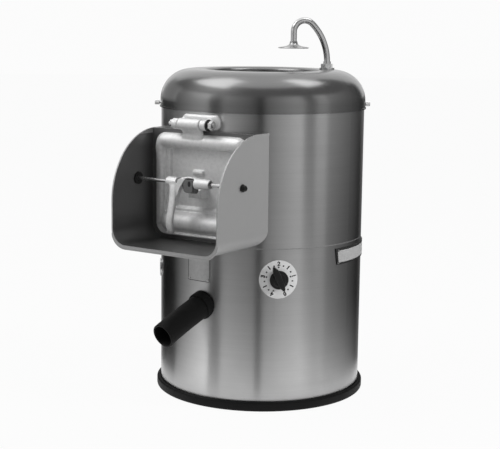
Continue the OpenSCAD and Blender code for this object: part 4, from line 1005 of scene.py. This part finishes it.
def make_side_plate():
    """The bare side plate: a pale field in a black frame, with slanted ends."""
    turns, rise, slant = (79, 125), (low("side_plate").z, high("side_plate").z), 1.8
    seat, thick, border = 0.1 * MM, 2.2 * MM, 4.2 * MM
    face = drum_r + seat + thick
    edge = degrees(border / face)
    plate = add_piece("side_plate_frame", curved_patch(turns, rise, drum_r + seat, thick, 48, slant),
                      "root", "side_plate_finish")
    add_bevel(plate, 0.8 * MM)
    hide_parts("side_plate")
    field = curved_patch((turns[0] + edge, turns[1] - edge), (rise[0] + border, rise[1] - border),
                         face, 0.15 * MM, 48, slant)
    add_piece("side_plate_field", field, "root", "plate_metal", "plate_field")


def make_cover_screws():
    """Knurled thumb screws on the cover's rim."""
    base, top, r, ridges = 3.6 * MM, 13.2 * MM, 4.5 * MM, 20
    knurl = [(grip * cos(a), grip * sin(a)) for grip, a in
             ((r - 0.35 * MM * (k % 2), pi * k / ridges) for k in range(2 * ridges))]
    meshes = []
    for turn in (127, 307):
        place = on_shell(turn, middle("cover_screws").z)
        meshes.append(prism(knurl, base + 1 * MM, top - 1 * MM, place))
        meshes.append(lathe(knob_profile(r - 0.4 * MM, base, top, 0.8 * MM), place, 32))
        meshes.append(lathe(knob_profile(2.4 * MM, -5 * MM, base + 1 * MM, 0.2 * MM), place, 20))
    screws = add_piece("thumb_screws", join(*meshes), "root", "bright_metal")
    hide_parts("cover_screws")


# ---- Studio ----

CAMERA_TURN = 33.33
CARD_R = 0.9


def stage_object(name, mesh, finish):
    mesh.name = name
    mesh.materials.append(finish)
    thing = in_scene(name, mesh)
    return thing


def bare_material(name):
    """A material with an empty tree, and that tree."""
    made = bpy.data.materials.new(name)
    made.use_nodes = True
    made.node_tree.nodes.clear()
    return made, made.node_tree


def ray_mix(tree, lit, seen, mirrored):
    """One value for lighting, one where the camera looks, one in metal and glass."""
    path = node(tree, "ShaderNodeLightPath").outputs
    shiny = maths(tree, "MAXIMUM", path["Is Glossy Ray"], path["Is Transmission Ray"])
    value = maths(tree, "ADD", maths(tree, "MULTIPLY", path["Is Camera Ray"], seen - lit), lit)
    return maths(tree, "ADD", maths(tree, "MULTIPLY", shiny, mirrored - lit), value)


def make_floor():
    """A plain pale floor. Seen directly it is near white, and keeps a soft shadow."""
    paint, tree = bare_material("floor_paint")
    matt = node(tree, "ShaderNodeBsdfDiffuse", in_Color=(0.6, 0.6, 0.6, 1)).outputs[0]
    glow = node(tree, "ShaderNodeEmission", in_Color=(1, 1, 1, 1), in_Strength=1.0).outputs[0]
    mix = node(tree, "ShaderNodeMixShader", in_0=ray_mix(tree, 0.0, 0.95, 0.9), in_1=matt, in_2=glow)
    node(tree, "ShaderNodeOutputMaterial", in_Surface=mix.outputs[0])
    r, sides = 14.0, 48
    rim = [(r * cos(a), r * sin(a), 0) for a in (2 * pi * k / sides for k in range(sides))]
    stage_object("studio_floor", mesh_of(rim, [tuple(range(sides))]), paint)


def shown_at(seen, r):
    """Which way a thing at radius r stands, to be mirrored by the drum at a given angle.

    Both are in degrees from the camera's side."""
    a = radians(seen)
    return degrees(2 * a - asin(drum_r / r * sin(a)))


def make_card(name, *rows):
    """A curved studio card round the object. Only reflections see it.

    Each row is a radius, a height, its two turns from the camera's side and their tones."""
    paper, tree = bare_material(name)
    tone = node(tree, "ShaderNodeAttribute", attribute_name="tone").outputs["Fac"]
    glow = node(tree, "ShaderNodeEmission", in_Color=(1, 1, 1, 1), in_Strength=tone).outputs[0]
    node(tree, "ShaderNodeOutputMaterial", in_Surface=glow)
    steps = max(2, ceil(max(abs(turns[1] - turns[0]) for r, z, turns, tones in rows) / 4))
    verts, greys = [], []
    for r, z, turns, tones in rows:
        for i in range(steps + 1):
            share = i / steps
            a = radians(CAMERA_TURN + turns[0] + (turns[1] - turns[0]) * share)
            verts.append((r * sin(a), -r * cos(a), z))
            greys.append(tones[0] + (tones[1] - tones[0]) * share)
    mesh = mesh_of(verts, bands(len(rows), steps + 1, closed=False))
    mesh.attributes.new("tone", "FLOAT", "POINT").data.foreach_set("value", greys)
    card = stage_object(name, mesh, paper)
    card.visible_camera = False
    card.visible_diffuse = False
    card.visible_shadow = False
    card.visible_transmission = False


def make_drum_card(name, seen, near, foot, head, top=1.0):
    """A card that the drum mirrors between two angles, with a sheet on the floor before it.

    near, foot and head are the tones on the floor, at the card's foot and at its top."""
    rows = []
    for r, z, tones in ((0.3, 0.004, near), (CARD_R, 0.004, foot), (CARD_R, top, head)):
        rows.append((r, z, [shown_at(a, r) for a in seen], tones))
    make_card(name, *rows)


def make_studio():
    """The floor, the sky, the cards that the metal mirrors and the two lamps."""
    make_floor()
    world = bpy.data.worlds.new("studio")
    bpy.context.scene.world = world
    world.use_nodes = True
    tree = world.node_tree
    sky = tree.nodes["Background"]
    sky.inputs["Color"].default_value = (1, 1, 1, 1)
    tree.links.new(ray_mix(tree, 0.4, 0.97, 0.9), sky.inputs["Strength"])

    make_drum_card("back_left", (-97, -77), (0.6, 0.4), (0.35, 0.2), (0.6, 0.4), 0.6)
    make_drum_card("left_dark", (-77, -57), (0.1, 0.1), (0.0, 0.0), (0.02, 0.02), 0.56)
    make_drum_card("left_light", (-57, -30.5), (0.5, 1.7), (0.02, 0.45), (0.25, 1.1))
    make_drum_card("left_gap", (-30.5, -23), (0.7, 0.7), (0.04, 0.06), (0.2, 0.2))
    make_drum_card("front_left", (-23, -2.8), (1.15, 0.95), (0.27, 0.12), (0.66, 0.22))
    make_drum_card("front_gap", (-2.8, 0.9), (0.4, 0.4), (0.0, 0.0), (0.0, 0.0))
    make_drum_card("front_right", (0.9, 23.5), (1.0, 1.35), (0.15, 0.46), (0.34, 0.93))
    make_drum_card("right_gap", (23.5, 30.5), (1.35, 1.0), (0.44, 0.32), (0.16, 0.16))
    make_drum_card("right_light", (30.5, 38.5), (0.95, 0.95), (0.24, 0.26), (0.85, 0.9))
    make_drum_card("right_dark", (38.5, 74), (0.85, 0.1), (0.14, 0.0), (0.56, 0.04))
    make_drum_card("back_right", (74, 97), (0.15, 0.6), (0.03, 0.3), (0.05, 0.5), 0.6)
    behind = [shown_at(a, CARD_R) for a in (-77, -58.5)]
    make_card("left_over", (CARD_R, 0.56, behind, (0.4, 0.4)), (CARD_R, 1.0, behind, (0.4, 0.4)))
    make_card("front_belt", (CARD_R, 1.0, (-130, 130), (0.2, 0.2)),
              (0.7, 1.6, (-130, 130), (0.2, 0.2)))
    # the softboxes overhead, as the polished cover mirrors them
    make_card("left_glint", (0.56, 1.1, (-108, -44), (2.2, 2.2)),
              (0.2, 1.22, (-108, -44), (2.2, 2.2)))
    make_card("right_glint", (0.5, 1.14, (58, 98), (2.6, 2.6)),
              (0.18, 1.22, (58, 98), (2.6, 2.6)))

    away, aim_height = 2.6, 0.35
    for name, turn, height, size, power in (("left_softbox", -72, 2.9, 2.0, 50),
                                            ("right_softbox", 75, 0.95, 0.9, 46)):
        lamp = bpy.data.lights.new(name, "AREA")
        lamp.shape = "DISK"
        lamp.size = size
        lamp.energy = power
        holder = in_scene(name, lamp)
        holder.visible_glossy = turn < 0
        a = radians(CAMERA_TURN + turn)
        holder.location = (away * sin(a), -away * cos(a), height)
        aim = Vector((0, 0, aim_height)) - holder.location
        holder.rotation_euler = aim.to_track_quat("-Z", "Y").to_euler()


def make_camera():
    """The camera stands right of the front, level with the spout's top, looking a little down."""
    distance, height, pitch, roll, aim = 2.5814, 0.7485, 9.2061, 0.7025, 0.5069
    # the focal length and the picture's width are both in pixels
    sensor, focal, width = 36, 1283.2, 500
    turn = radians(CAMERA_TURN)
    lens = bpy.data.cameras.new("camera")
    lens.sensor_width = sensor
    lens.lens = sensor * focal / width
    holder = in_scene("camera", lens)
    look = (Matrix.Rotation(turn + radians(aim), 4, "Z")
            @ Matrix.Rotation(radians(90 - pitch), 4, "X") @ Matrix.Rotation(radians(roll), 4, "Z"))
    spot = Vector((distance * sin(turn), -distance * cos(turn), height))
    holder.matrix_world = Matrix.Translation(spot) @ look
    bpy.context.scene.camera = holder


dress_frame()
make_bumper()
make_chute()
make_door()
make_hinge()
make_hinge_nut()
make_rod_nuts()
make_lever()
make_cam()
make_dial()
make_knob()
make_spout()
make_hose()
make_data_plate_line()
make_side_plate()
make_cover_screws()
make_studio()
make_camera()
bpy.context.scene.view_settings.view_transform = "Standard"
